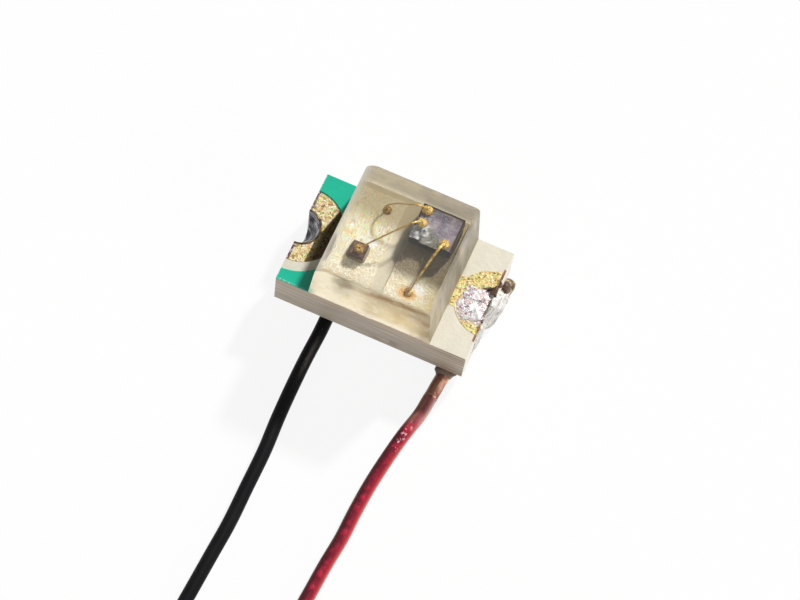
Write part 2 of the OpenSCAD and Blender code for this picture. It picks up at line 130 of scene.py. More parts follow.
class LedSizes(bpy.types.PropertyGroup):
    """Sizes of the chip, its wires and its coils."""

    notch: length("Notch radius", "Radius of the notch in each end of the board", 0.2)
    plating: length("Plating", "Thickness of the metal on a notch's wall", 0.02)
    pad: length("Left pad", "Radius of the round pad about the left notch", 0.4)
    right_pad: length("Right pad", "Radius of the round pad about the right notch", 0.36)
    pad_shift: length("Pad shift", "How far both round pads sit off the middle", 0.02)
    trace: length("Trace", "Width of the trace from each round pad", 0.34)
    foil_border: length("Foil border", "From the lens's sides to the foils", 0.06)
    mask_opening: length("Mask opening", "Radius of the opening in the solder mask", 0.45)
    mask_shift: length("Mask shift", "How far the mask's opening sits towards the front", 0.04)
    lens_edge_left: length("Lens left edge", "Radius along the lens's upper left edge", 0.15)
    lens_edge_right: length("Lens right edge", "Radius along the lens's upper right edge", 0.05)
    lens_lean: length("Lens lean", "How far each sloping end of the lens leans in", 0.05)
    bond_wire: length("Bond wire", "Diameter of the gold bond wire", 0.022)
    ball: length("Ball bond", "Diameter of a ball bond", 0.1)
    lead: length("Lead", "Diameter of the enamelled wire", 0.14)
    coil_radius: length("Coil radius", "Radius at the middle of a coil's turns", 1.13)
    turn_pitch: length("Turn pitch", "From one turn to the one beside it", 0.143)
    row_pitch: length("Row pitch", "From one layer of turns to the next", 0.126)
    columns: IntProperty(name="Columns", description="Turns side by side", default=5, min=1)
    rows: IntProperty(name="Rows", description="Layers of turns", default=4, min=1)


class LedColours(bpy.types.PropertyGroup):
    """Colours of the chip's and the wires' finishes."""

    laminate: colour("Laminate", "Bare face of the board", (0.82, 0.77, 0.63))
    sawn: colour("Sawn laminate", "Sawn sides of the board", (0.72, 0.62, 0.50))
    mask: colour("Solder mask", "Green mask on the left end", (0.005, 0.50, 0.32))
    resin: colour("Resin", "Cast resin of the lens", (0.97, 0.94, 0.85))
    silicon: colour("Silicon", "Face of the flasher die", (0.18, 0.155, 0.235))
    crystal: colour("Crystal", "Face of the light-emitting die", (0.13, 0.07, 0.03))
    # The left joint's solder is painted dark, for the dark reflections in its notch
    dark_solder: colour("Dark solder", "Flux-darkened solder of the left joint", (0.030, 0.030, 0.040))
    copper: colour("Copper", "Bare copper wire", (0.80, 0.42, 0.28))
    black: colour("Black enamel", "Enamel of the black lead", (0.006, 0.006, 0.007))
    red: colour("Red enamel", "Enamel of the red lead", (0.14, 0.010, 0.020))
    paper: colour("Paper", "Paper ties round the coils", (0.85, 0.80, 0.66))


class LedStage(bpy.types.PropertyGroup):
    """The camera and the lamps round the part."""

    azimuth: FloatProperty(name="Azimuth", description="Camera's angle round the part",
                           default=math.radians(13.49), subtype="ANGLE")
    elevation: FloatProperty(name="Elevation", description="Camera's angle above the floor",
                             default=math.radians(65.78), subtype="ANGLE")
    roll: FloatProperty(name="Roll", description="How far the camera is turned about its own axis",
                        default=math.radians(10.78), subtype="ANGLE")
    distance: length("Distance", "From the camera to what it looks at", 28)
    focal_length: FloatProperty(name="Focal length", description="Focal length in millimetres",
                                default=129.66, min=1, unit="CAMERA")
    key: FloatProperty(name="Key light", description="Strength of the key light", default=3.5, min=0)
    side: FloatProperty(name="Side light", description="Strength of the soft light from the right",
                        default=0.7, min=0)
    front: FloatProperty(name="Front light", description="Strength of the soft light from the front",
                         default=0.45, min=0)
    fill: FloatProperty(name="Fill light", description="Strength of the light from all round",
                        default=0.17, min=0)


# --- Finishes ---

class Nodes:
    """A tree of shader nodes under construction."""

    def __init__(self, tree):
        self.tree = tree
        tree.nodes.clear()

    def feed(self, socket, value):
        """Sets a socket to a value, or joins another node's output to it."""
        if isinstance(value, bpy.types.NodeSocket):
            self.tree.links.new(value, socket)
        elif socket.type == "RGBA" and len(value) == 3:
            socket.default_value = (*value, 1)
        else:
            socket.default_value = value

    def add(self, kind, settings=(), **sockets):
        """Adds a node with its settings and what goes into its sockets."""
        node = self.tree.nodes.new(kind)
        for key, value in dict(settings).items():
            setattr(node, key, value)
        for key, value in sockets.items():
            self.feed(node.inputs[key.replace("_", " ")], value)
        return node

    def step(self, kind, way, values):
        """Adds a node of arithmetic and feeds its inputs in turn."""
        node = self.add(kind, {"operation": way})
        for socket, value in zip(node.inputs, values):
            self.feed(socket, value)
        return node

    def sum(self, way, *values):
        """One step of arithmetic on numbers."""
        return self.step("ShaderNodeMath", way, values).outputs[0]

    def times(self, first, *others):
        """The product of numbers."""
        for other in others:
            first = self.sum("MULTIPLY", first, other)
        return first

    def inverse(self, share):
        """What is left of 1."""
        return self.sum("SUBTRACT", 1.0, share)

    def vector(self, way, *values, output="Vector"):
        """One step of arithmetic on vectors."""
        return self.step("ShaderNodeVectorMath", way, values).outputs[output]

    def eased(self, value, start, end):
        """0 at one level of a value, easing to 1 at another."""
        return self.add("ShaderNodeMapRange", {"interpolation_type": "SMOOTHSTEP"}, Value=value,
                        From_Min=start, From_Max=end).outputs[0]

    def seen(self):
        """1 for rays that show the background as it is, straight or by way of metal or resin."""
        path = self.add("ShaderNodeLightPath").outputs
        total = self.sum("MAXIMUM", path["Is Camera Ray"], path["Is Glossy Ray"])
        total = self.sum("MAXIMUM", total, path["Is Transmission Ray"])
        return self.times(total, self.sum("LESS_THAN", path["Diffuse Depth"], 0.5))


class Finish(Nodes):
    """A material under construction, whose textures are scaled in millimetres."""

    def __init__(self, name):
        self.material = bpy.data.materials.new(name)
        self.material.use_nodes = True
        super().__init__(self.material.node_tree)
        self.places = self.add("ShaderNodeTexCoord").outputs["Object"]

    def stretched(self, x=1, y=1, z=1):
        """Places in millimetres, stretched along each axis."""
        return self.add("ShaderNodeMapping", Vector=self.places, Scale=(x / MM, y / MM, z / MM)).outputs[0]

    def noise(self, per_mm, detail=2, rough=0.5, where=None, warp=0):
        return self.add("ShaderNodeTexNoise", Vector=where or self.stretched(), Scale=per_mm,
                        Detail=detail, Roughness=rough, Distortion=warp).outputs["Fac"]

    def cells(self, per_mm, output="Color", where=None):
        return self.add("ShaderNodeTexVoronoi", Vector=where or self.stretched(),
                        Scale=per_mm).outputs[output]

    def ramp(self, value, *stops):
        """Colours by value; each stop is a place and a colour or a grey."""
        ramp = self.add("ShaderNodeValToRGB", Fac=value)
        elements = ramp.color_ramp.elements
        while len(elements) < len(stops):
            elements.new(1)
        for element, (place, shade) in zip(elements, stops):
            element.position = place
            element.color = (shade, shade, shade, 1) if isinstance(shade, (int, float)) else (*shade, 1)
        return ramp.outputs["Color"]

    def patches(self, per_mm, low, high, detail=3, rough=0.5, shares=(0.0, 1.0)):
        """Noise made into shares: the first share below its low level, the second above its high one."""
        return self.ramp(self.noise(per_mm, detail, rough), (low, shares[0]), (high, shares[1]))

    def blend(self, share, a, b, way="MIX"):
        """Mixes two colours by a share."""
        mix = self.add("ShaderNodeMix", {"data_type": "RGBA", "blend_type": way})
        for socket, value in zip((mix.inputs[0], mix.inputs[6], mix.inputs[7]), (share, a, b)):
            self.feed(socket, value)
        return mix.outputs[2]

    def axis(self, letter, source=None):
        """One coordinate in millimetres, or of another vector."""
        return self.add("ShaderNodeSeparateXYZ", Vector=source or self.stretched()).outputs[letter]

    def normal_axis(self, letter):
        """How far the surface faces along one axis."""
        return self.axis(letter, self.add("ShaderNodeNewGeometry").outputs["Normal"])

    def above(self, value, level, soft):
        """1 where a value, or the coordinate of a letter, is above a level, easing to 0 below it."""
        value = self.axis(value) if isinstance(value, str) else value
        return self.eased(value, level - soft, level + soft)

    def below(self, value, level, soft):
        """1 where it is below a level, easing to 0 above it."""
        return self.above(value, level, -soft)

    def band(self, value, low, high, soft):
        """1 where it lies between two levels, easing to 0 outside."""
        return self.times(self.above(value, low, soft), self.below(value, high, soft))

    def mixed(self, share, a, b):
        """Mixes two shaders by a share."""
        mix = self.add("ShaderNodeMixShader", Fac=share)
        self.feed(mix.inputs[1], a)
        self.feed(mix.inputs[2], b)
        return mix.outputs[0]

    def bump(self, height, depth, **normal):
        """Relief of a depth in millimetres."""
        return self.add("ShaderNodeBump", Height=height, Distance=depth * MM, **normal).outputs[0]

    def painted_die_shadow(self):
        """How much painted shadow of the flasher die darkens what lies in front of it under the resin."""
        low, high = in_mm(FLASHER)
        return self.times(self.band("X", low.x - 0.05, high.x + 0.14, 0.07),
                          self.band("Y", low.y - 0.35, low.y + 0.15, 0.08), 0.9)

    def painted_lens_shadow(self):
        """How much painted shadow of the lens lies on the pad beside its left end."""
        beyond = self.sum("MAXIMUM", self.sum("ADD", self.axis("Y"), 0.09), 0.0)
        place = self.sum("SUBTRACT", self.axis("X"), self.times(beyond, 0.235))
        return self.band(place, -0.824, in_mm(LENS)[0].x + 0.02, 0.006)

    def spot(self, centre, halves, soft=0.4):
        """1 at a place, easing to 0 at an oval round it; both in millimetres."""
        ratio = self.vector("DIVIDE", self.vector("SUBTRACT", self.stretched(), centre), halves)
        return self.below(self.vector("LENGTH", ratio, output="Value"), 1, soft)

    def spotted(self, tone, *spots):
        """A colour with spots on it; each is a centre, half sizes, softness, share and colour."""
        for centre, halves, soft, share, shade in spots:
            tone = self.blend(self.times(self.spot(centre, halves, soft), share), tone, shade)
        return tone

    def surface(self, **sockets):
        return self.add("ShaderNodeBsdfPrincipled", **sockets).outputs[0]

    def done(self, shader):
        self.add("ShaderNodeOutputMaterial", Surface=shader)
        return self.material


def laminate_finish(colours):
    """Cream glass-epoxy: smooth with a few painted fibre glints on its face, layered where it is sawn, with
    painted light on its right end and painted shadow of the flasher die.
    """
    f = Finish("laminate")
    face = f.blend(f.patches(9, 0.35, 0.75), colours.laminate, scaled(colours.laminate, 0.92))
    # Painted glints: small white specks for light off the glass fibres
    glints = f.ramp(f.cells(16, "Distance"), (0.0, 1.0), (0.09, 0.0))
    glints = f.times(glints, f.patches(5, 0.52, 0.6, 2, shares=(0.0, 0.8)))
    face = f.blend(glints, face, (1, 1, 0.97))
    # Painted shadow of the flasher die on the laminate
    face = f.blend(f.painted_die_shadow(), face, (0.18, 0.14, 0.08))
    end = f.times(f.above("X", END_MM - 0.024, 0.006), f.band("Y", -0.415, 0.42, 0.01))
    brown = f.blend(f.noise(20, 2), (0.16, 0.05, 0.02), (0.42, 0.17, 0.07))
    face = f.blend(end, face, brown)
    layers = f.noise(1, 4, 0.6, f.stretched(1.5, 1.5, 28))
    side = f.blend(f.ramp(layers, (0.36, 0.0), (0.66, 1.0)), scaled(colours.sawn, 0.80),
                   scaled(colours.sawn, 1.12))
    rim = f.times(f.band("Z", TOP_MM - 0.03, TOP_MM, 0.012), 0.6)
    side = f.blend(rim, side, (0.80, 0.52, 0.30))
    scuff = f.times(f.band("X", 0.05, 0.3, 0.1), f.band("Z", 0.2, 0.3, 0.05),
                    f.patches(6, 0.45, 0.6, shares=(0.0, 0.8)))
    side = f.blend(scuff, side, (0.25, 0.20, 0.16))
    torn = f.noise(1, 3, 0.6, f.stretched(1, 1, 45))
    torn = f.ramp(torn, (0.40, (0.34, 0.26, 0.18)), (0.52, (0.54, 0.46, 0.36)), (0.62, (0.66, 0.58, 0.46)))
    side = f.blend(f.above("X", 0.60, 0.40), side, torn)
    # Painted light: faces turned right, towards the side lamp, are painted lighter
    side = f.blend(f.ramp(f.normal_axis("X"), (0.5, 0.0), (0.8, 0.85)), side, (0.95, 0.90, 0.80))
    upward = f.ramp(f.normal_axis("Z"), (0.5, 0.0), (0.8, 1.0))
    relief = f.sum("ADD", f.times(layers, 0.6), f.noise(30, 2))
    return f.done(f.surface(Base_Color=f.blend(upward, side, face), Roughness=0.55,
                            Normal=f.bump(relief, 0.002)))


def mask_finish(colours):
    """Glossy green solder mask, a little cloudy, with pale nicks along its sawn edges."""
    f = Finish("solder_mask")
    green = f.blend(f.patches(4, 0.3, 0.7), colours.mask, scaled(colours.mask, 1.12))
    edge = f.sum("MAXIMUM", f.band("Y", -SIDE_MM, 0.020 - SIDE_MM, 0.010),
                 f.band("X", -END_MM, 0.006 - END_MM, 0.005))
    green = f.blend(f.times(edge, 0.5), green, (0.12, 0.62, 0.46))
    nicks = f.times(edge, f.patches(50, 0.57, 0.62, 2), f.below("X", -0.80, 0.03))
    return f.done(f.surface(Base_Color=f.blend(nicks, green, (0.80, 0.90, 0.82)), Roughness=0.35,
                            Specular_IOR_Level=0.25, Coat_Weight=0.25, Coat_Roughness=0.1,
                            Normal=f.bump(f.noise(10, 2), 0.0015)))


def gold_finish():
    """Gold plate over coarse foil, paler under the resin: its grains have many tints and painted glints, and
    it carries painted highlights and painted shadows of the lens and the flasher die.
    """
    f = Finish("gold_foil")
    shift = f.add("ShaderNodeTexNoise", Vector=f.stretched(), Scale=20.0).outputs["Color"]
    grain = f.cells(62, where=f.vector("MULTIPLY_ADD", shift, (0.03, 0.03, 0.03), f.stretched()))
    hue = f.axis("X", grain)
    tone = f.ramp(hue, (0.0, (0.22, 0.13, 0.05)), (0.14, (0.50, 0.34, 0.12)), (0.34, (0.80, 0.58, 0.26)),
                  (0.50, (1.0, 0.88, 0.36)), (0.62, (0.90, 0.46, 0.42)), (0.72, (0.55, 0.74, 0.24)),
                  (0.84, (1.0, 0.95, 0.78)), (1.0, (0.66, 0.46, 0.22)))
    low, high = in_mm(LENS)
    inside = f.band("X", low.x, high.x, 0.008)
    pale = f.blend(f.patches(5, 0.38, 0.62, rough=0.6), (1.0, 0.96, 0.82), (0.90, 0.81, 0.60))
    fine = f.axis("X", f.cells(60, where=f.stretched(1.4, 0.7, 1)))
    pale = f.blend(f.ramp(fine, (0.55, 0.0), (0.9, 0.6)), pale, (1.0, 0.97, 0.86))
    pale = f.blend(f.ramp(fine, (0.0, 0.4), (0.2, 0.0)), pale, (0.70, 0.52, 0.26))
    spark = f.axis("Y", f.cells(75, where=f.stretched(1.1, 0.3, 1)))
    tints = f.ramp(spark, (0.0, (0.95, 0.62, 0.52)), (0.25, (1.0, 0.86, 0.36)), (0.45, (0.70, 0.92, 0.52)),
                   (0.65, (1.0, 1.0, 0.95)), (0.85, (0.98, 0.98, 0.96)), (1.0, (0.62, 0.44, 0.24)))
    # Painted glints: the grains' bright tints, strongest over the lit foil left of the dies
    painted_glints = f.times(f.spot((-0.36, 0.13, TOP_MM), (0.30, 0.24, 0.2)), 0.8)
    painted_glints = f.sum("MAXIMUM", f.patches(7, 0.42, 0.60, 2, shares=(0.05, 0.4)), painted_glints)
    pale = f.blend(painted_glints, pale, tints)
    # Painted highlight: a white spot beside the emitter die
    pale = f.spotted(pale, ((-0.27, 0.02, TOP_MM), (0.06, 0.05, 0.2), 0.4, 1, (1, 1, 1)))
    pale = f.blend(f.times(f.above("X", 0.38, 0.10), 0.4), pale, (0.48, 0.37, 0.17))
    # Painted highlights: a yellow glint near the right foil's front corner and a white one behind the return
    # stitch
    pale = f.spotted(pale, ((0.51, -0.38, 0.6), (0.06, 0.10, 0.2), 0.6, 0.55, (1.0, 0.80, 0.30)),
                     ((0.31, -0.25, TOP_MM), (0.07, 0.06, 0.2), 0.4, 1, (1, 1, 1)),
                     ((0.235, -0.325, TOP_MM), (0.09, 0.065, 0.2), 0.6, 1, (0.78, 0.42, 0.12)))
    # Painted shadow of the flasher die on the foil
    pale = f.blend(f.painted_die_shadow(), pale, (0.145, 0.105, 0.048))
    # Painted shadow of the lens on the pad outside it: dark brown, with its metal and gloss taken away
    painted_lens_shadow = f.times(f.painted_lens_shadow(), f.inverse(inside))
    tone = f.blend(f.times(painted_lens_shadow, 0.84), tone, (0.055, 0.036, 0.012))
    face = f.blend(inside, tone, pale)
    face = f.blend(f.above("X", 0.60, 0.02), face, (0.94, 0.93, 0.72), "MULTIPLY")
    ragged = f.sum("ADD", f.axis("Y"), f.times(f.noise(12, 2), 0.10))
    tinned = f.times(f.band("X", 0.71, 1.2, 0.04), f.band(ragged, -0.19, 0.16, 0.04),
                     f.ramp(hue, (0.25, 0.35), (0.45, 1.0)))
    lilac = f.ramp(hue, (0.0, (0.35, 0.27, 0.30)), (0.3, (0.70, 0.58, 0.64)), (0.6, (0.90, 0.80, 0.84)),
                   (0.8, (0.62, 0.74, 0.60)), (1.0, (0.62, 0.60, 0.62)))
    face = f.blend(tinned, face, lilac)
    cut = f.times(f.band(f.sum("ABSOLUTE", f.axis("X")), END_MM - 0.026, END_MM + 0.1, 0.007),
                  f.patches(14, 0.36, 0.50, shares=(0.15, 1.0)))
    torn = f.ramp(f.axis("Z", grain), (0.0, (0.02, 0.015, 0.02)), (0.5, (0.16, 0.07, 0.05)),
                  (0.8, (0.70, 0.55, 0.60)), (1.0, (0.10, 0.05, 0.04)))
    brown = f.blend(f.noise(20, 2), (0.10, 0.035, 0.02), (0.40, 0.16, 0.06))
    face = f.blend(cut, face, f.blend(f.ramp(f.axis("X"), (0.0, 0.0), (0.1, 1.0)), torn, brown))
    # Painted light: the foils' edges outside the lens are painted pale to hide their shade
    side = f.ramp(f.normal_axis("Z"), (0.5, 1.0), (0.9, 0.0))
    face = f.blend(f.times(side, f.inverse(inside)), face, (1.0, 0.86, 0.60))
    relief = f.sum("ADD", f.noise(50, 3, 0.6), f.times(f.axis("Y", grain), 0.7))
    outside_painted_shadow = f.inverse(painted_lens_shadow)
    return f.done(f.surface(Base_Color=face, Metallic=f.times(outside_painted_shadow, 0.12), Roughness=0.38,
                            Specular_IOR_Level=f.times(outside_painted_shadow, 0.35),
                            Normal=f.bump(relief, 0.006)))


def notch_finish():
    """Plating on the wall of a notch, painted dark brown for the shade and dark reflections in the hollow."""
    f = Finish("notch_gold")
    tone = f.blend(f.patches(12, 0.45, 0.65), (0.06, 0.035, 0.02), (0.36, 0.22, 0.08))
    return f.done(f.surface(Base_Color=tone, Metallic=0.4, Roughness=0.35,
                            Normal=f.bump(f.noise(20, 3), 0.006)))


def resin_finish(colours, name, rough, frost, tint, relief):
    """Cast resin: lamps reach what is inside, and the block still casts its shadow."""
    f = Finish(name)
    shade = tint(f)
    glass = f.surface(Base_Color=colours.resin, Roughness=rough, IOR=1.5,
                      Transmission_Weight=1.0, Normal=relief(f))
    bloom = f.mixed(0.5, f.add("ShaderNodeBsdfDiffuse", Color=shade).outputs[0],
                    f.add("ShaderNodeBsdfTranslucent", Color=shade).outputs[0])
    body = f.mixed(frost(f), glass, bloom)
    inside = f.add("ShaderNodeNewGeometry").outputs["Backfacing"]
    path = f.add("ShaderNodeLightPath").outputs
    let_out = f.times(inside, f.sum("MAXIMUM", path["Is Shadow Ray"], path["Is Diffuse Ray"]))
    # Painted shade: lamp light leaving low through the upright walls is dimmed and browned, standing in for
    # light the walls bend away
    upright = f.ramp(f.sum("ABSOLUTE", f.normal_axis("Z")), (0.3, 1.0), (0.6, 0.0))
    dim = f.times(f.below("Z", 0.94, 0.10), upright)
    open_air = f.add("ShaderNodeBsdfTransparent",
                     Color=f.blend(dim, (1.0, 0.975, 0.91), (0.46, 0.39, 0.26))).outputs[0]
    # Painted shade: to light bounced from outside, the resin is a dull brown sheet, which deepens its shadow
    # on the ledge
    beside = f.times(f.inverse(inside), path["Is Diffuse Ray"])
    dull = f.add("ShaderNodeBsdfDiffuse", Color=(0.3, 0.25, 0.16)).outputs[0]
    return f.done(f.mixed(let_out, f.mixed(beside, body, dull), open_air))


def polished_resin(colours):
    """The moulded top and left end of the lens, nearly smooth, misted along the front and left edges, with
    painted blurred images of the dies and gold along the front edge.
    """
    front, top = in_mm(LENS)[0].y, in_mm(LENS)[1].z

    def rim(f, reach, soft):
        return f.below("Y", front + reach, soft)

    def frost(f):
        sill = f.times(rim(f, 0.030, 0.045), 0.95)
        haze = f.times(rim(f, 0.10, 0.09), f.below("X", 0.05, 0.15),
                       f.patches(8, 0.35, 0.65, shares=(0.05, 0.5)))
        side = f.ramp(f.times(f.normal_axis("X"), -1.0), (0.12, 0.0), (0.6, 0.45), (0.9, 0.85))
        veil = f.patches(3, 0.35, 0.65, shares=(0.01, 0.05))
        return f.sum("MAXIMUM", f.sum("MAXIMUM", sill, haze), f.sum("MAXIMUM", side, veil))

    def tint(f):
        shade = f.blend(rim(f, 0.05, 0.04), (1.0, 0.97, 0.88), (0.80, 0.70, 0.52))
        # Painted blurred images of the dies and gold inside, seen through the misty front edge: a brown line,
        # brown spots and orange spots
        painted_die_blur = f.times(rim(f, 0.03, 0.025), f.band("X", -0.08, 0.50, 0.06),
                       f.patches(9, 0.36, 0.58, shares=(0.2, 0.9)))
        shade = f.blend(painted_die_blur, shade, (0.44, 0.28, 0.12))
        for place, share in ((-0.33, 0.5), (-0.20, 0.35)):
            painted_blur = f.spot((place, front, top), (0.07, 0.05, 0.1))
            shade = f.blend(f.times(painted_blur, share), shade, (0.26, 0.20, 0.13))
        for place in (-0.50, -0.41):
            painted_gold_blur = f.spot((place, front + 0.02, top), (0.04, 0.03, 0.1))
            shade = f.blend(f.times(painted_gold_blur, 0.6), shade, (0.85, 0.52, 0.22))
        return shade

    return resin_finish(colours, "lens_resin", 0.05, frost, tint, lambda f: f.bump(f.noise(7, 2), 0.0012))


def dull_resin(colours):
    """The moulded right end of the lens, a little frosted, with dark streaks that are painted reflections of
    the shade and the die inside.
    """
    def tint(f):
        streaks = f.noise(1, 3, 0.6, f.stretched(8, 8, 2))
        return f.blend(f.ramp(streaks, (0.4, 0.0), (0.65, 1.0)), (0.78, 0.72, 0.60), (0.48, 0.43, 0.35))
    return resin_finish(colours, "lens_resin_end", 0.35, lambda f: 0.6, tint,
                        lambda f: f.bump(f.noise(12, 3), 0.003))


def sawn_resin(colours):
    """The lens's two sawn sides: frosted by the blade, with painted blurred images of the dies, the gold and
    the green mask seen through the front one.
    """
    def tint(f):
        low, high = in_mm(LENS)
        rise, front = f.axis("Z"), low.y
        cloud = f.blend(f.patches(4, 0.35, 0.65), (0.73, 0.61, 0.38), (0.57, 0.45, 0.25))
        cloud = f.blend(f.below("X", -0.15, 0.3), cloud, (0.86, 0.80, 0.65))
        cloud = f.blend(f.above("X", 0.42, 0.12), cloud, (0.46, 0.39, 0.27))
        cloud = f.blend(f.band(rise, low.z - 0.1, low.z + 0.10, 0.07), cloud, (0.90, 0.85, 0.76))
        mottle = f.noise(13, 3, 0.6)
        cloud = f.blend(f.ramp(mottle, (0.34, 0.55), (0.46, 0.0)), cloud, (0.62, 0.44, 0.20))
        cloud = f.blend(f.ramp(mottle, (0.54, 0.0), (0.66, 0.3)), cloud, (0.97, 0.96, 0.90))
        # Painted image of the green mask, seen through the resin's lower left corner
        corner = f.times(f.below("X", low.x + 0.05, 0.04), f.band(rise, 0, low.z + 0.12, 0.06), 0.8)
        cloud = f.blend(corner, cloud, (0.16, 0.50, 0.34))
        scraps = f.noise(1, 3, 0.6, f.stretched(9, 9, 12))
        # Painted blurred image of the flasher die, a brown line below the upper edge
        painted_die_blur = f.band(f.sum("SUBTRACT", rise, f.times(f.axis("X"), 0.17)), 1.09, 1.20, 0.03)
        painted_die_blur = f.times(painted_die_blur, f.band("X", -0.12, 0.55, 0.06), f.ramp(scraps, (0.34, 0.35), (0.56, 1.0)))
        cloud = f.blend(painted_die_blur, cloud, f.blend(f.noise(12, 2), (0.30, 0.15, 0.05), (0.38, 0.24, 0.10)))
        # Painted blurred images of the dies and gold inside
        cloud = f.spotted(cloud, ((-0.32, front, 1.130), (0.110, 0.1, 0.090), 0.4, 0.65, (0.16, 0.12, 0.08)),
                          ((-0.20, front, 1.130), (0.120, 0.1, 0.060), 0.4, 0.55, (0.28, 0.20, 0.12)),
                          ((0.45, front, 1.040), (0.090, 0.1, 0.035), 0.4, 0.45, (0.36, 0.19, 0.09)),
                          ((0.55, front, 0.994), (0.050, 0.1, 0.050), 0.4, 0.65, (0.28, 0.13, 0.07)),
                          ((0.36, front, 0.900), (0.110, 0.1, 0.060), 0.4, 0.40, (0.72, 0.52, 0.22)))
        back = f.blend(f.patches(9, 0.4, 0.6), (0.54, 0.47, 0.35), (0.43, 0.39, 0.32))
        back = f.blend(f.band(rise, low.z - 0.1, low.z + 0.09, 0.08), back, (0.72, 0.66, 0.53))
        return f.blend(f.band("Y", 0.0, high.y + 0.1, 0.05), cloud, back)
    return resin_finish(colours, "lens_resin_sawn", 0.42, lambda f: 0.7, tint,
                        lambda f: f.bump(f.noise(1, 3, 0.6, f.stretched(6, 6, 40)), 0.004))


def silicon_finish(colours):
    """Violet-grey silicon: speckled circuits, a dark scribed border, near-black sides that are partly painted
    shade, and bright where broken, partly a painted highlight on the shiny fracture.
    """
    f = Finish("flasher_silicon")
    mottle = f.noise(44, 3, 0.7)
    face = f.ramp(mottle, (0.36, (0.075, 0.060, 0.10)), (0.48, colours.silicon), (0.58, (0.30, 0.26, 0.35)),
                  (0.70, (0.62, 0.58, 0.66)))
    face = f.blend(f.times(f.patches(7, 0.40, 0.60), 0.6), face, (0.48, 0.44, 0.52))
    hues = f.axis("X", f.cells(22))
    face = f.blend(0.25, face, f.ramp(hues, (0.2, (0.06, 0.05, 0.10)), (0.5, (0.30, 0.18, 0.26)),
                                      (0.8, (0.14, 0.28, 0.28)), (1.0, (0.55, 0.50, 0.50))))
    low, high = in_mm(FLASHER)
    middle = f.times(f.band("X", low.x + 0.016, high.x - 0.018, 0.005),
                     f.band("Y", low.y + 0.004, high.y - 0.020, 0.005))
    face = f.blend(f.inverse(middle), face, (0.050, 0.022, 0.018))
    upward = f.above("Z", high.z - 0.004, 0.002)
    sloping = f.ramp(f.normal_axis("Z"), (0.20, 0.0), (0.40, 1.0))
    chip = f.noise(20, 4, 0.7)
    # Broken faces are painted bright: partly a painted highlight on the shiny fracture
    broken = f.ramp(chip, (0.38, (0.52, 0.53, 0.55)), (0.50, (0.80, 0.82, 0.84)), (0.64, (0.98, 1.0, 1.0)))
    silver = f.ramp(chip, (0.36, (0.26, 0.26, 0.31)), (0.50, (0.48, 0.51, 0.58)), (0.64, (0.78, 0.83, 0.86)))
    broken = f.blend(f.below("X", low.x + 0.12, 0.012), broken, silver)
    face = f.blend(f.spot((low.x + 0.13, low.y + 0.135, high.z), (0.06, 0.04, 0.1)), face, silver)
    # Near-black sides: partly painted shade
    side = f.blend(f.noise(12, 2), (0.008, 0.008, 0.006), (0.03, 0.03, 0.022))
    side = f.blend(sloping, side, broken)
    return f.done(f.surface(Base_Color=f.blend(upward, side, face), Roughness=0.4,
                            Specular_IOR_Level=0.25, Normal=f.bump(mottle, 0.003)))


def crystal_finish(colours):
    """Brown light-emitting crystal with dark violet edges, which lets some light through."""
    f = Finish("emitter_crystal")
    low, high = in_mm(EMITTER)
    middle = f.times(f.band("X", low.x + 0.016, high.x - 0.016, 0.008),
                     f.band("Y", low.y + 0.016, high.y - 0.016, 0.008))
    upward = f.ramp(f.normal_axis("Z"), (0.6, 0.0), (0.9, 1.0))
    face = f.blend(f.patches(30, 0.4, 0.6, 2), colours.crystal, (0.20, 0.12, 0.05))
    face = f.blend(middle, (0.10, 0.032, 0.038), face)
    body = f.surface(Base_Color=f.blend(upward, (0.10, 0.040, 0.038), face), Roughness=0.35,
                     Specular_IOR_Level=0.3, Normal=f.bump(f.noise(30, 2), 0.003))
    shadow = f.times(f.add("ShaderNodeLightPath").outputs["Is Shadow Ray"], 0.5)
    clear = f.add("ShaderNodeBsdfTransparent", Color=(1.0, 0.9, 0.75)).outputs[0]
    return f.done(f.mixed(shadow, body, clear))


def bond_finish(name, grain, crumple):
    """Soft gold of the bond wires, crumpled where it is bonded and browner on the left foil."""
    f = Finish(name)
    mottle = f.noise(grain, 3, 0.65)
    tone = f.ramp(mottle, (0.34, (0.30, 0.14, 0.02)), (0.44, (0.66, 0.38, 0.06)),
                  (0.54, (0.82, 0.60, 0.17)), (0.64, (0.92, 0.82, 0.45)))
    # Browner towards the front
    frontward = f.times(f.below("Y", -0.24, 0.08), 0.72)
    tone = f.blend(frontward, tone, (0.52, 0.34, 0.15))
    browner = f.below("X", in_mm(FLASHER)[0].x - 0.05, 0.03)
    tone = f.blend(f.times(browner, 0.72), tone, (0.36, 0.20, 0.045))
    return f.done(f.surface(Base_Color=tone, Metallic=0.35, Roughness=0.42, Specular_IOR_Level=0.3,
                            Normal=f.bump(mottle, crumple)))


def adhesive_finish():
    """Silver-filled die adhesive, painted dark as shade round the flasher die, and the colour of shaded foil
    round the emitter die.
    """
    f = Finish("silver_adhesive")
    tone = f.blend(f.noise(60, 2), (0.06, 0.055, 0.045), (0.16, 0.145, 0.12))
    tone = f.blend(f.below("X", -0.1, 0.02), tone, (0.42, 0.36, 0.25))
    return f.done(f.surface(Base_Color=tone, Metallic=0.1, Roughness=0.6, Specular_IOR_Level=0.2,
                            Normal=f.bump(f.noise(60, 2), 0.003)))


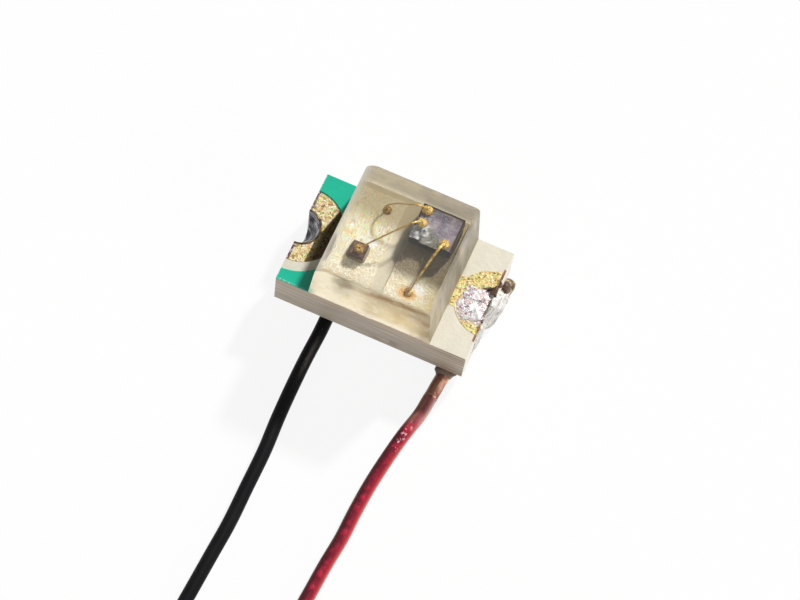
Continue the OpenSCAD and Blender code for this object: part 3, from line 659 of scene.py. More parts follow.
def solder_finish():
    """Solder: grainy with lilac and white glints on the pad, painted highlights and painted shade in its
    creases, drawn into grey streaks past the end.
    """
    f = Finish("solder")
    grain = f.cells(60)
    tint = f.ramp(f.axis("X", grain), (0.0, (0.18, 0.11, 0.12)), (0.15, (0.46, 0.35, 0.40)),
                  (0.40, (0.68, 0.58, 0.70)), (0.55, (0.95, 0.64, 0.62)), (0.70, (0.58, 0.80, 0.68)),
                  (0.85, (1.0, 1.0, 1.0)), (1.0, (0.60, 0.54, 0.46)))
    cloud = f.noise(7, 3, 0.6, warp=0.5)
    smooth = f.times(f.ramp(cloud, (0.40, 0.15), (0.56, 1.0)), f.above("X", 0.885, 0.02))
    tone = f.blend(smooth, tint, f.blend(f.ramp(cloud, (0.50, 0.0), (0.66, 1.0)), (0.56, 0.46, 0.45),
                                         (0.84, 0.79, 0.80)))
    # Painted highlights: the two white spots; painted shade: the last, dark spot in the crevice beside the
    # torn pad edge
    tone = f.spotted(tone, ((0.918, -0.147, TOP_MM), (0.05, 0.05, 0.1), 0.4, 1, (1.0, 0.98, 1.0)),
                     ((0.859, -0.082, TOP_MM), (0.04, 0.04, 0.1), 0.4, 1, (1.0, 0.98, 1.0)),
                     ((0.935, 0.05, TOP_MM), (0.07, 0.13, 0.1), 0.4, 1, (0.52, 0.41, 0.39)),
                     ((0.91, 0.20, TOP_MM), (0.06, 0.09, 0.2), 0.6, 1, (0.09, 0.09, 0.12)))
    # Painted shade in the creases
    creases = f.ramp(cloud, (0.34, 1.0), (0.40, 0.0))
    tone = f.blend(f.times(creases, 0.8), tone, (0.10, 0.08, 0.10))
    drawn = f.noise(1, 4, 0.65, f.stretched(24, 7, 34), warp=0.3)
    streaks = f.ramp(drawn, (0.34, (0.30, 0.27, 0.22)), (0.44, (0.62, 0.59, 0.53)),
                     (0.56, (0.84, 0.81, 0.76)), (0.70, (1.0, 1.0, 1.0)))
    outside = f.above("X", END_MM - 0.015, 0.010)
    tone = f.blend(outside, tone, streaks)
    # Painted shade in the crease where the solder on the pad meets the bulge over the board's end
    seam = f.times(f.band("X", END_MM - 0.030, END_MM - 0.008, 0.008),
                   f.patches(12, 0.38, 0.50, shares=(0.0, 0.9)))
    tone = f.blend(seam, tone, (0.10, 0.08, 0.05))
    crumbs = f.sum("ADD", f.noise(50, 3, 0.6), f.times(f.axis("Y", grain), 0.7))
    fine = f.bump(f.times(crumbs, f.inverse(outside)), 0.006)
    return f.done(f.surface(Base_Color=tone, Metallic=0.35, Roughness=0.32,
                            Normal=f.bump(f.times(drawn, outside), 0.016, Normal=fine)))


def dark_solder_finish(colours):
    """Solder painted dark for the dark reflections in its notch, with bright drawn streaks that are painted
    highlights.
    """
    f = Finish("dark_solder")
    inward = f.sum("ADD", f.axis("X"), END_MM)
    across = f.axis("Y")
    reach = f.sum("SQRT", f.sum("ADD", f.times(inward, inward), f.times(across, across)))
    drawn = f.add("ShaderNodeCombineXYZ", X=f.times(reach, 34.0), Y=f.times(across, 7.0))
    streaks = f.noise(1, 4, 0.62, drawn.outputs[0], warp=0.5)
    # Painted highlights: bright drawn streaks on the dark solder
    tone = f.blend(f.ramp(streaks, (0.50, 0.0), (0.58, 0.5), (0.68, 1.0)), colours.dark_solder,
                   (0.80, 0.79, 0.82))
    specks = f.patches(34, 0.60, 0.66, 2)
    lower = f.band("Y", -0.3, -0.02, 0.05)
    tone = f.blend(f.times(specks, lower), tone, (0.85, 0.62, 0.45))
    return f.done(f.surface(Base_Color=tone, Metallic=0.25, Roughness=0.25,
                            Specular_IOR_Level=0.35, Normal=f.bump(streaks, 0.016)))


def flux_finish():
    """Burnt flux, dark brown with a little gloss."""
    f = Finish("flux")
    tone = f.blend(f.noise(14, 3), (0.05, 0.022, 0.012), (0.16, 0.085, 0.045))
    beside_wire = f.blend(f.noise(16, 3), (0.12, 0.075, 0.05), (0.30, 0.21, 0.15))
    tone = f.blend(f.below("Y", -0.4, 0.05), tone, beside_wire)
    return f.done(f.surface(Base_Color=tone, Roughness=0.35, Specular_IOR_Level=0.4,
                            Normal=f.bump(f.noise(22, 3), 0.008)))


def copper_finish(colours):
    """Bare copper with scraps of burnt enamel, dulled to olive at its cut end, and dark brown along its left
    side: partly burnt flux, partly painted shade.
    """
    f = Finish("bare_copper")
    scraps = f.patches(9, 0.45, 0.58, 4, rough=0.6)
    tone = f.blend(scraps, colours.copper, (0.30, 0.12, 0.09))
    dull = f.ramp(f.noise(16, 3, 0.6), (0.40, (0.10, 0.065, 0.03)), (0.52, (0.32, 0.22, 0.11)),
                  (0.64, (0.56, 0.44, 0.26)))
    far = f.band("Y", 0.3, 1.0, 0.05)
    tone = f.blend(far, tone, dull)
    # Dark brown where the wire faces left: partly burnt flux, partly painted shade
    burnt_and_shaded = f.ramp(f.sum("SUBTRACT", f.normal_axis("X"), f.times(f.noise(14, 3), 0.3)),
                   (0.0, 0.9), (0.15, 0.0))
    burnt_and_shaded = f.times(burnt_and_shaded, f.below("Y", 0, 0.05))
    tone = f.blend(burnt_and_shaded, tone, f.blend(f.noise(18, 2), (0.10, 0.04, 0.03), (0.30, 0.16, 0.11)))
    return f.done(f.surface(Base_Color=tone, Metallic=f.times(f.inverse(far), 0.7),
                            Roughness=0.38, Specular_IOR_Level=0.3,
                            Normal=f.bump(f.noise(14, 3), 0.008)))


def tinned_finish():
    """Tinned copper wire, drawn along its length."""
    f = Finish("tinned_wire")
    drawn = f.noise(3, 3, 0.6, f.stretched(8, 0.6, 8))
    tone = f.blend(drawn, (0.62, 0.61, 0.60), (0.88, 0.87, 0.86))
    return f.done(f.surface(Base_Color=tone, Metallic=1.0, Roughness=0.24,
                            Normal=f.bump(drawn, 0.003)))


def black_enamel_finish(colours):
    """Thick black enamel with a soft gloss, and a painted highlight along its right-hand top beside the
    joint.
    """
    f = Finish("black_enamel")
    tone = f.blend(f.patches(3, 0.4, 0.7, 2), colours.black, (0.010, 0.009, 0.009))
    # Painted highlight along the side that faces right
    painted_highlight = f.times(f.band("Y", -1.22, -0.88, 0.14), f.band(f.normal_axis("X"), 0.15, 0.60, 0.25), 0.8)
    tone = f.blend(painted_highlight, tone, (0.14, 0.125, 0.12))
    return f.done(f.surface(Base_Color=tone, Roughness=0.45, Specular_IOR_Level=0.08))


def red_enamel_finish(colours):
    """Clear red enamel over copper, with painted light and shade across it: maroon on its left, beaded along
    the middle, glowing on its right.
    """
    f = Finish("red_enamel")
    beads = f.patches(8, 0.43, 0.62, rough=0.62)
    # Painted light and shade by which way the surface faces: dark on the left, lit on the right
    across = f.times(f.sum("ADD", f.normal_axis("X"), 1.0), 0.5)
    along = f.axis("Y")
    painted_light_and_shade = f.ramp(across, (0.04, (0.15, 0.016, 0.014)), (0.25, (0.080, 0.010, 0.014)),
                  (0.50, (0.15, 0.012, 0.026)), (0.72, (0.25, 0.014, 0.026)),
                  (0.90, (0.52, 0.045, 0.055)), (1.0, (0.75, 0.20, 0.18)))
    painted_light_and_shade = f.blend(f.times(beads, f.band(across, 0.34, 0.76, 0.16)), painted_light_and_shade, (0.52, 0.024, 0.056))
    # Painted glints along the middle
    glints = f.times(f.patches(24, 0.56, 0.66, 2), f.band(across, 0.40, 0.78, 0.12),
                     f.band(along, -1.60, -1.26, 0.08))
    painted_light_and_shade = f.blend(glints, painted_light_and_shade, (0.92, 0.50, 0.56))
    # Near the board the enamel is thin and pinker, with painted light and shade across it too
    thin = f.ramp(across, (0.10, (0.36, 0.14, 0.11)), (0.35, (0.50, 0.21, 0.16)),
                  (0.55, (0.28, 0.09, 0.10)), (0.75, (0.52, 0.18, 0.17)), (0.95, (0.85, 0.48, 0.42)))
    painted_light_and_shade = f.blend(f.above(along, -1.20, 0.18), painted_light_and_shade, thin)
    tone = f.blend(f.above(along, -3.9, 0.4), f.blend(beads, colours.red, (0.42, 0.020, 0.055)), painted_light_and_shade)
    return f.done(f.surface(Base_Color=tone, Roughness=0.30, Specular_IOR_Level=0.16,
                            Normal=f.bump(f.noise(8, 3), 0.010)))


def paper_finish(colours):
    """Plain paper with faint fibres."""
    f = Finish("tie_paper")
    fibre = f.noise(14, 4, 0.7, f.stretched(1, 4, 1))
    tone = f.blend(fibre, colours.paper, scaled(colours.paper, 0.86))
    return f.done(f.surface(Base_Color=tone, Roughness=0.85, Normal=f.bump(fibre, 0.004)))


# --- Shapes ---

def piece(name, points, faces, finish, slot, replaces, smooth=True):
    """A mesh that rides on the part's body and stands for CAD nodes."""
    mesh = bpy.data.meshes.new(name)
    mesh.from_pydata([tuple(p) for p in points], [], faces)
    body = bmesh.new()
    body.from_mesh(mesh)
    bmesh.ops.recalc_face_normals(body, faces=body.faces)
    body.to_mesh(mesh)
    body.free()
    mesh.polygons.foreach_set("use_smooth", [smooth] * len(mesh.polygons))
    mesh.materials.append(finish)
    made = bpy.data.objects.new(name, mesh)
    bpy.context.scene.collection.objects.link(made)
    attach(made, BODY)
    if replaces:
        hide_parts(*replaces)
    return made


def round_edges(made, width, steps=2, angle=35):
    """Rounds a piece's sharp edges."""
    edge = made.modifiers.new("Rounded edges", "BEVEL")
    edge.width = width
    edge.segments = steps
    edge.limit_method = "ANGLE"
    edge.angle_limit = math.radians(angle)
    edge.harden_normals = True
    return made


def arc(centre, radius, start, end, steps=24):
    """Points on an arc in the plane, with its angles in degrees."""
    turns = [math.radians(start + (end - start) * k / steps) for k in range(steps + 1)]
    return [(centre[0] + radius * math.cos(t), centre[1] + radius * math.sin(t)) for t in turns]


def slab(outline, low, high):
    """Points and faces of an outline raised between two heights."""
    *walls, foot, top = ring_faces(2, len(outline))
    return [(*p, z) for z in (low, high) for p in outline], [foot, top, *walls]


def ring_faces(count, sides):
    """Faces between rings of points that follow one another, and over both ends."""
    faces = []
    for a in range((count - 1) * sides):
        b = a + 1 if (a + 1) % sides else a + 1 - sides
        faces.append((a, b, b + sides, a + sides))
    return [*faces, tuple(range(sides)), tuple(range((count - 1) * sides, count * sides))]


def squared_ring(power, count):
    """Directions round a ring, and how far a squared-off outline reaches along each."""
    ring = []
    for k in range(count):
        turn = 2 * math.pi * k / count
        c, s = math.cos(turn), math.sin(turn)
        ring.append((c, s, (abs(c) ** power + abs(s) ** power) ** (-1 / power)))
    return ring


def smooth_path(points, steps):
    """A path through the points, with each span cut into steps."""
    points = [Vector(p) for p in points]
    ends = [2 * points[0] - points[1], *points, 2 * points[-1] - points[-2]]
    path = []
    for a, b, c, d in zip(ends, ends[1:], ends[2:], ends[3:]):
        for k in range(steps):
            t = k / steps
            path.append(0.5 * (2 * b + (c - a) * t + (2 * a - 5 * b + 4 * c - d) * t * t
                               + (3 * b - a - 3 * c + d) * t ** 3))
    return [*path, points[-1]]


def tube(path, radius, sides=16):
    """Points and faces of a round tube along a path; radius is a number or a list."""
    count = len(path)
    radii = radius if isinstance(radius, list) else [radius] * count
    points, side = [], Vector((0, 0, 1))
    for k, centre in enumerate(path):
        along = (path[min(k + 1, count - 1)] - path[max(k - 1, 0)]).normalized()
        side = (side - along * side.dot(along)).normalized()
        other = along.cross(side)
        for s in range(sides):
            turn = 2 * math.pi * s / sides
            points.append(centre + radii[k] * (math.cos(turn) * side + math.sin(turn) * other))
    return points, ring_faces(count, sides)


def joined(*solids):
    """Several lots of points and faces as one."""
    points, faces = [], []
    for some_points, some_faces in solids:
        start = len(points)
        points += some_points
        faces += [tuple(start + i for i in face) for face in some_faces]
    return points, faces


def melt(blobs, voxel, shape):
    """Points and faces of blobs run together; each is a centre, half sizes in millimetres and a turn."""
    body = bmesh.new()
    for centre, halves, turn in blobs:
        place = (Matrix.Translation(Vector(centre)) @ Matrix.Rotation(math.radians(turn), 4, "Z")
                 @ Matrix.Diagonal((*halves, 1)))
        bmesh.ops.create_icosphere(body, subdivisions=3, radius=1, matrix=place)
    mesh = bpy.data.meshes.new("blobs")
    body.to_mesh(mesh)
    body.free()
    rough = bpy.data.objects.new("blobs", mesh)
    bpy.context.scene.collection.objects.link(rough)
    remesh = rough.modifiers.new("Melt", "REMESH")
    remesh.mode = "VOXEL"
    remesh.voxel_size = voxel
    relax = rough.modifiers.new("Relax", "SMOOTH")
    relax.factor = 0.6
    relax.iterations = 5
    graph = bpy.context.evaluated_depsgraph_get()
    melted = rough.evaluated_get(graph).to_mesh()
    points = [tuple(shape(v.co.copy()) * MM) for v in melted.vertices]
    faces = [tuple(p.vertices) for p in melted.polygons]
    bpy.data.objects.remove(rough)
    return points, faces


# --- Outlines of the chip's flat pieces, in metres ---

def board_outline(sizes):
    """The board with a notch in each end."""
    left, right = (-HALF_LENGTH, 0), (HALF_LENGTH, 0)
    return [(-HALF_LENGTH, -HALF_WIDTH), (HALF_LENGTH, -HALF_WIDTH),
            *arc(right, sizes.notch, 270, 90), (HALF_LENGTH, HALF_WIDTH),
            (-HALF_LENGTH, HALF_WIDTH), *arc(left, sizes.notch, 90, -90)]


def pad_outline(sizes, end):
    """A round pad about one notch and its trace, as far as the lens."""
    half_trace = sizes.trace / 2
    pad = sizes.right_pad if end > 0 else sizes.pad
    lean = math.degrees(math.asin(half_trace / pad))
    lens_end = end * (LENS[1].x if end > 0 else LENS[0].x) - HALF_LENGTH
    top, foot = sizes.pad_shift + half_trace, sizes.pad_shift - half_trace
    points = [*arc((0, sizes.pad_shift), pad, 90, 180 - lean),
              (lens_end, top), (lens_end, foot),
              *arc((0, sizes.pad_shift), pad, 180 + lean, 270),
              *arc((0, 0), sizes.notch, 270, 90)]
    return [(end * (x + HALF_LENGTH), y) for x, y in points]


def foil_outline(sizes, end, box):
    """The foil under the lens, with the end of its trace."""
    half_trace = sizes.trace / 2
    lens_end = end * (LENS[1].x if end > 0 else LENS[0].x)
    outer = lens_end - sizes.foil_border
    inner = end * (box[0].x if end > 0 else box[1].x)
    top, foot = sizes.pad_shift + half_trace, sizes.pad_shift - half_trace
    points = [(lens_end, top), (outer, top), (outer, box[1].y), (inner, box[1].y),
              (inner, box[0].y), (outer, box[0].y), (outer, foot), (lens_end, foot)]
    return [(end * x, y) for x, y in points]


def mask_outline(sizes, side):
    """One patch of the mask, from the sawn edges in to its opening."""
    edge = MASK[1].x
    reach = edge + HALF_LENGTH

    def rim(x):
        opening = math.sqrt(sizes.mask_opening ** 2 - x * x) - side * sizes.mask_shift
        pad = math.sqrt(sizes.pad ** 2 - x * x) + side * sizes.pad_shift
        return max(opening, pad)

    curve = [(x - HALF_LENGTH, side * rim(x)) for x in (reach * k / 24 for k in range(25))]
    return [*curve, (edge, side * HALF_WIDTH), (-HALF_LENGTH, side * HALF_WIDTH)]


def plating_outline(sizes, end):
    """The metal on one notch's wall."""
    points = [*arc((0, 0), sizes.notch, 90, 270), *arc((0, 0), sizes.notch - sizes.plating, 270, 90)]
    return [(end * (x + HALF_LENGTH), y) for x, y in points]


def under_pad_outline(sizes, end, box):
    """A solder pad under one end."""
    inner = box[0].x if end > 0 else box[1].x
    points = [(end * HALF_LENGTH, box[1].y), (inner, box[1].y), (inner, box[0].y),
              (end * HALF_LENGTH, box[0].y)]
    notch = [(end * (x + HALF_LENGTH), y) for x, y in arc((0, 0), sizes.notch, 270, 90)]
    return [*points, *notch]


# --- Operators ---

class LED_OT_stage(bpy.types.Operator):
    """Sets the camera, the lamps and the white floor"""

    bl_idname = "chip_led.stage"
    bl_label = "Stage"

    def execute(self, context):
        stage = context.scene.led_stage
        context.scene.view_settings.view_transform = "Standard"
        self.aim_camera(context, stage)
        self.light(context, stage)
        self.lay_floor(context)
        return {"FINISHED"}

    def aim_camera(self, context, stage):
        data = bpy.data.cameras.new("camera")
        data.lens = stage.focal_length
        data.clip_start = 0.1 * MM
        data.clip_end = 1
        camera = bpy.data.objects.new("camera", data)
        context.scene.collection.objects.link(camera)
        a, e = stage.azimuth, stage.elevation
        back = Vector((math.sin(a) * math.cos(e), -math.cos(a) * math.cos(e), math.sin(e)))
        turn = (-back).to_track_quat("-Z", "Y").to_matrix().to_4x4()
        roll = Matrix.Rotation(stage.roll, 4, "Z")
        camera.matrix_world = Matrix.Translation(AIM + back * stage.distance) @ turn @ roll
        context.scene.camera = camera

    def light(self, context, stage):
        for name, (towards, spread) in LAMPS.items():
            data = bpy.data.lights.new(name, "SUN")
            data.energy = getattr(stage, name)
            data.angle = math.radians(spread)
            lamp = bpy.data.objects.new(name, data)
            context.scene.collection.objects.link(lamp)
            lamp.rotation_euler = Vector(towards).to_track_quat("Z", "Y").to_euler()
        world = bpy.data.worlds.new("room")
        context.scene.world = world
        world.use_nodes = True
        room = Nodes(world.node_tree)
        strength = room.add("ShaderNodeMapRange", Value=room.seen(), To_Min=stage.fill, To_Max=1)
        sky = room.add("ShaderNodeBackground", Strength=strength.outputs[0])
        room.add("ShaderNodeOutputWorld", Surface=sky.outputs[0])

    def lay_floor(self, context):
        """A floor that rays see as the white background, with only a faint shadow of its own."""
        mesh = bpy.data.meshes.new("floor")
        corners = ((-1, -1), (1, -1), (1, 1), (-1, 1))
        mesh.from_pydata([(x * FLOOR_REACH, y * FLOOR_REACH, 0) for x, y in corners], [], [(0, 1, 2, 3)])
        floor = bpy.data.objects.new("floor", mesh)
        context.scene.collection.objects.link(floor)
        f = Finish("floor")
        paper = f.add("ShaderNodeBsdfDiffuse", Color=(0.95, 0.95, 0.95)).outputs[0]
        white = f.add("ShaderNodeEmission").outputs[0]
        mesh.materials.append(f.done(f.mixed(f.times(f.seen(), 0.90), paper, white)))


class LED_OT_leads(bpy.types.Operator):
    """Makes the two enamelled leads as far as their coils"""

    bl_idname = "chip_led.leads"
    bl_label = "Leads"

    def execute(self, context):
        sizes, colours = context.scene.led_sizes, context.scene.led_colours
        rise = sizes.lead / 2
        for name, start, places, finish, slot in (
                ("black_lead", self.black_start(sizes), BLACK_PLACES,
                 black_enamel_finish(colours), "black_enamel"),
                ("red_lead", self.red_start(sizes), RED_PLACES,
                 red_enamel_finish(colours), "red_enamel")):
            laid = [Vector(p) * MM + Vector((0, 0, rise)) for p in places]
            path = smooth_path([start, *laid], 8)
            radii = [self.radius(sizes, k / len(path)) for k in range(len(path))]
            piece(name, *tube(path, radii, 20), finish, slot, [name])
        return {"FINISHED"}

    def black_start(self, sizes):
        """Where the black enamel begins, inside its joint."""
        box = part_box("black_wire_end")
        return Vector(((box[0].x + box[1].x) / 2, box[0].y, sizes.lead / 2))

    def red_start(self, sizes):
        """Where the red enamel begins, at the end of the bare stretch."""
        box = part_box("red_lead")
        return Vector((box[1].x - sizes.lead / 2, box[1].y, sizes.lead / 2))

    def radius(self, sizes, share):
        """The enamel is a little uneven along the lead."""
        return sizes.lead / 2 * (1 + 0.012 * noise.noise((share * 14, 0, 0)))


class LED_OT_coils(bpy.types.Operator):
    """Winds the spare wire of each lead, ties it and adds its tinned end"""

    bl_idname = "chip_led.coils"
    bl_label = "Coils, ties and tinned ends"

    def execute(self, context):
        sizes, colours = context.scene.led_sizes, context.scene.led_colours
        finishes = {"black": black_enamel_finish(colours), "red": red_enamel_finish(colours)}
        paper, tin = paper_finish(colours), tinned_finish()
        for name, way, turns in (("black", 1, 19.5), ("red", -1, 20)):
            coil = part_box(name + "_coil")
            path = self.winding(sizes, halved(coil)[0], way, turns, coil[0].z)
            path += self.tail(name, path[-1], way)
            piece(name + "_coil", *tube(path, sizes.lead / 2, 10), finishes[name],
                  name + "_enamel", [name + "_coil", name + "_tail"])
            self.tie(name, paper)
            self.tip(name, tin, way)
        return {"FINISHED"}

    def winding(self, sizes, centre, way, turns, low):
        """The coil's turns, from beside its top outer turn to beside its bottom outer one."""
        outside = sizes.coil_radius + sizes.columns * sizes.turn_pitch / 2 + 0.04 * MM + sizes.lead / 2
        steps = round(turns * 36)
        path = []
        first = sizes.columns * sizes.rows - turns
        for k in range(steps + 1):
            slot = min(first + turns * k / steps, sizes.columns * sizes.rows - 1e-6)
            radius, height = self.turn_place(sizes, slot)
            near = min(k, steps - k) / 30
            if near < 1:
                ease = near * near * (3 - 2 * near)
                radius += (outside - radius) * (1 - ease)
                if k > steps / 2:
                    height -= (1 - ease) * low
            start = 0 if way > 0 else math.pi
            turn = start - way * math.radians(360 * turns * k / steps)
            path.append(Vector((centre.x + radius * math.cos(turn), centre.y + radius * math.sin(turn),
                                low + sizes.lead / 2 + height)))
        return path

    def turn_place(self, sizes, slot):
        """Radius and height of the wire, stepping to its next turn over the last tenth of a round."""
        def place(index):
            row, column = divmod(min(index, sizes.columns * sizes.rows - 1), sizes.columns)
            if row % 2 == 0:
                column = sizes.columns - 1 - column
            layer = sizes.rows - 1 - row
            shift = (0.25 if layer % 2 else -0.25) + column - (sizes.columns - 1) / 2
            return sizes.coil_radius + shift * sizes.turn_pitch, layer * sizes.row_pitch
        index, share = int(slot), slot - int(slot)
        step = max(0, (share - 0.88) / 0.12)
        step = step * step * (3 - 2 * step)
        a, b = place(index), place(index + 1)
        return a[0] + (b[0] - a[0]) * step, a[1] + (b[1] - a[1]) * step

    def tail(self, name, start, way):
        """The straight run from the coil to the tinned end."""
        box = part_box(name + "_tail")
        end = box[1].y if way > 0 else box[0].y
        return [Vector((start.x, start.y + (end - start.y) * k / 6, start.z)) for k in range(1, 7)]

    def tie(self, name, paper):
        """A paper band round the coil, with rounded corners."""
        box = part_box(name + "_coil_tie")
        middle, half = halved(box)
        inner, outer = [], []
        count, thickness = 64, 0.02 * MM
        for c, s, reach in squared_ring(8, count):
            for ring, thin in ((outer, 0), (inner, thickness)):
                ring.append((middle.y + (half.y - thin) * c * reach, middle.z + (half.z - thin) * s * reach))
        points = [(x, *p) for x in (box[0].x, box[1].x) for ring in (outer, inner) for p in ring]
        faces = []
        for k in range(count):
            n = (k + 1) % count
            a, b, c, d = 0, count, 2 * count, 3 * count
            faces += [(a + k, a + n, c + n, c + k), (b + k, b + n, d + n, d + k),
                      (a + k, a + n, b + n, b + k), (c + k, c + n, d + n, d + k)]
        made = piece(name + "_coil_tie", points, faces, paper, "tie_paper", [name + "_coil_tie"])
        round_edges(made, PAPER_EDGE)

    def tip(self, name, tin, way):
        """The tinned end, nipped off at its tip."""
        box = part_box(name + "_tip")
        middle, half = halved(box)
        start, end = (box[0].y, box[1].y) if way > 0 else (box[1].y, box[0].y)
        count = 24
        path = [Vector((middle.x, start + (end - start) * k / count, middle.z)) for k in range(count + 1)]
        radii = [half.x * (1 - 0.03 * abs(noise.noise((k * 0.4, 0, 0)))) for k in range(count + 1)]
        radii[-1] *= 0.55
        path[-2] = path[-1].lerp(path[-2], 0.4)
        piece(name + "_tip", *tube(path, radii, 16), tin, "tinned_wire", [name + "_tip"])


class LED_OT_board(bpy.types.Operator):
    """Makes the laminate board and the green solder mask"""

    bl_idname = "chip_led.board"
    bl_label = "Board and solder mask"

    def execute(self, context):
        sizes, colours = context.scene.led_sizes, context.scene.led_colours
        board = piece("substrate", *slab(board_outline(sizes), BOARD[0].z, BOARD_TOP),
                      laminate_finish(colours), "laminate", ["substrate"])
        round_edges(board, SAWN_EDGE)
        green = mask_finish(colours)
        for name, side in (("solder_mask_back", 1), ("solder_mask_front", -1)):
            patch = piece(name, *slab(mask_outline(sizes, side), BOARD_TOP, MASK[1].z),
                          green, "solder_mask", [name])
            round_edges(patch, FOIL_EDGE)
        return {"FINISHED"}


class LED_OT_foils(bpy.types.Operator):
    """Makes the gold-plated foils, notch walls and solder pads"""

    bl_idname = "chip_led.foils"
    bl_label = "Gold foils and pads"

    def execute(self, context):
        sizes = context.scene.led_sizes
        gold, wall_gold = gold_finish(), notch_finish()
        for side, end, foil, pad in (("left", -1, LEFT_FOIL, LEFT_PAD), ("right", 1, RIGHT_FOIL, RIGHT_PAD)):
            name = side + "_top_foil"
            solids = joined(slab(pad_outline(sizes, end), BOARD_TOP, PAD_TOP),
                            slab(foil_outline(sizes, end, foil), BOARD_TOP, FOIL_TOP))
            made = piece(name, *solids, gold, "gold_foil", [name])
            round_edges(made, FOIL_EDGE)
            name = side + "_notch_plating"
            piece(name, *slab(plating_outline(sizes, end), pad[0].z, PAD_TOP), wall_gold, "gold_foil", [name])
            name = side + "_under_pad"
            made = piece(name, *slab(under_pad_outline(sizes, end, pad), pad[0].z, pad[1].z),
                         gold, "gold_foil", [name])
            round_edges(made, FOIL_EDGE)
        return {"FINISHED"}


class LED_OT_lens(bpy.types.Operator):
    """Casts the clear lens over the dies"""

    bl_idname = "chip_led.lens"
    bl_label = "Lens"

    def execute(self, context):
        sizes, colours = context.scene.led_sizes, context.scene.led_colours
        outline = self.section(sizes)
        points = [(x, corner.y, z) for corner in LENS for x, z in outline]
        lens = piece("lens", points, ring_faces(2, len(outline)), polished_resin(colours),
                     "lens_resin", ["lens"])
        lens.data.materials.append(sawn_resin(colours))
        lens.data.materials.append(dull_resin(colours))
        for face in lens.data.polygons:
            if abs(face.normal.y) > 0.9:
                face.material_index = 1
                face.use_smooth = False
            elif face.normal.x > 0.3:
                face.material_index = 2
        edge = round_edges(lens, LENS_EDGE, 3, 60).modifiers["Rounded edges"]
        edge.material = 1
        return {"FINISHED"}

    def section(self, sizes):
        """The lens from the side: sloping ends, rounded upper edges, its foot just inside the board."""
        middle, half = (LENS[0].x + LENS[1].x) / 2, (LENS[1].x - LENS[0].x) / 2
        height = LENS[1].z - BOARD_TOP
        lean = math.atan(sizes.lens_lean / height)
        foot = BOARD_TOP - OVERLAP

        def edge(r):
            centre = half - (r + (height - r) * math.sin(lean)) / math.cos(lean)
            turns = (lean + (math.pi / 2 - lean) * k / 10 for k in range(11))
            return [(centre + r * math.cos(a), LENS[1].z - r + r * math.sin(a)) for a in turns]

        left = [(-x, z) for x, z in reversed(edge(sizes.lens_edge_left))]
        right = edge(sizes.lens_edge_right)
        return [(middle + x, z) for x, z in [(-half, foot), (half, foot), *right, *left]]


class LED_OT_dies(bpy.types.Operator):
    """Makes the two dies and the adhesive that they sit in"""

    bl_idname = "chip_led.dies"
    bl_label = "Dies"

    def execute(self, context):
        colours = context.scene.led_colours
        self.flasher(silicon_finish(colours))
        low, high = EMITTER
        outline = [(low.x, low.y), (high.x, low.y), (high.x, high.y), (low.x, high.y)]
        emitter = piece("emitter_die", *slab(outline, low.z, high.z), crystal_finish(colours),
                        "emitter_crystal", ["emitter_die"])
        round_edges(emitter, SAWN_EDGE)
        silver = adhesive_finish()
        for name in ("flasher_adhesive", "emitter_adhesive"):
            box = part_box(name)
            middle, half = halved(box)
            outline = []
            for c, s, reach in squared_ring(6, 48):
                reach *= 1 + 0.03 * noise.noise((c * 2, s * 2, half.x * 1000))
                outline.append((middle.x + half.x * c * reach, middle.y + half.y * s * reach))
            piece(name, *slab(outline, box[0].z, box[1].z + OVERLAP), silver, "silver_adhesive", [name])
        return {"FINISHED"}

    def flasher(self, silicon):
        """The flasher die, with its front left corner broken away along a rough face."""
        low, high = FLASHER
        body = bmesh.new()
        size = high - low
        place = Matrix.Translation(halved(FLASHER)[0]) @ Matrix.Diagonal((*size, 1))
        bmesh.ops.create_cube(body, size=1, matrix=place)
        bmesh.ops.subdivide_edges(body, edges=body.edges, cuts=31, use_grid_fill=True)
        for v in body.verts:
            flat = Vector((v.co.x, v.co.y, 0)) / MM
            across = (flat.x - low.x / MM - 0.115) / 0.20
            ragged = 1 + 0.5 * noise.noise(flat * 13) + 0.5 * noise.noise(flat * 30)
            reach = 0.14 * (1 - across * across) * ragged
            lost = 1 - (flat.y - low.y / MM) / reach if reach > 0 else 0
            if lost > 0:
                steep = 0.08 if across > -0.1 else 0.02
                drop = 0.012 + steep * lost + 0.03 * noise.noise(flat * 19)
                v.co.z -= max(drop, 0.006) * MM * (v.co.z - low.z) / size.z
        mesh = bpy.data.meshes.new("cut")
        body.to_mesh(mesh)
        body.free()
        points = [v.co.copy() for v in mesh.vertices]
        faces = [tuple(p.vertices) for p in mesh.polygons]
        piece("flasher_die", points, faces, silicon, "flasher_silicon", ["flasher_die"], False)
        bpy.data.meshes.remove(mesh)


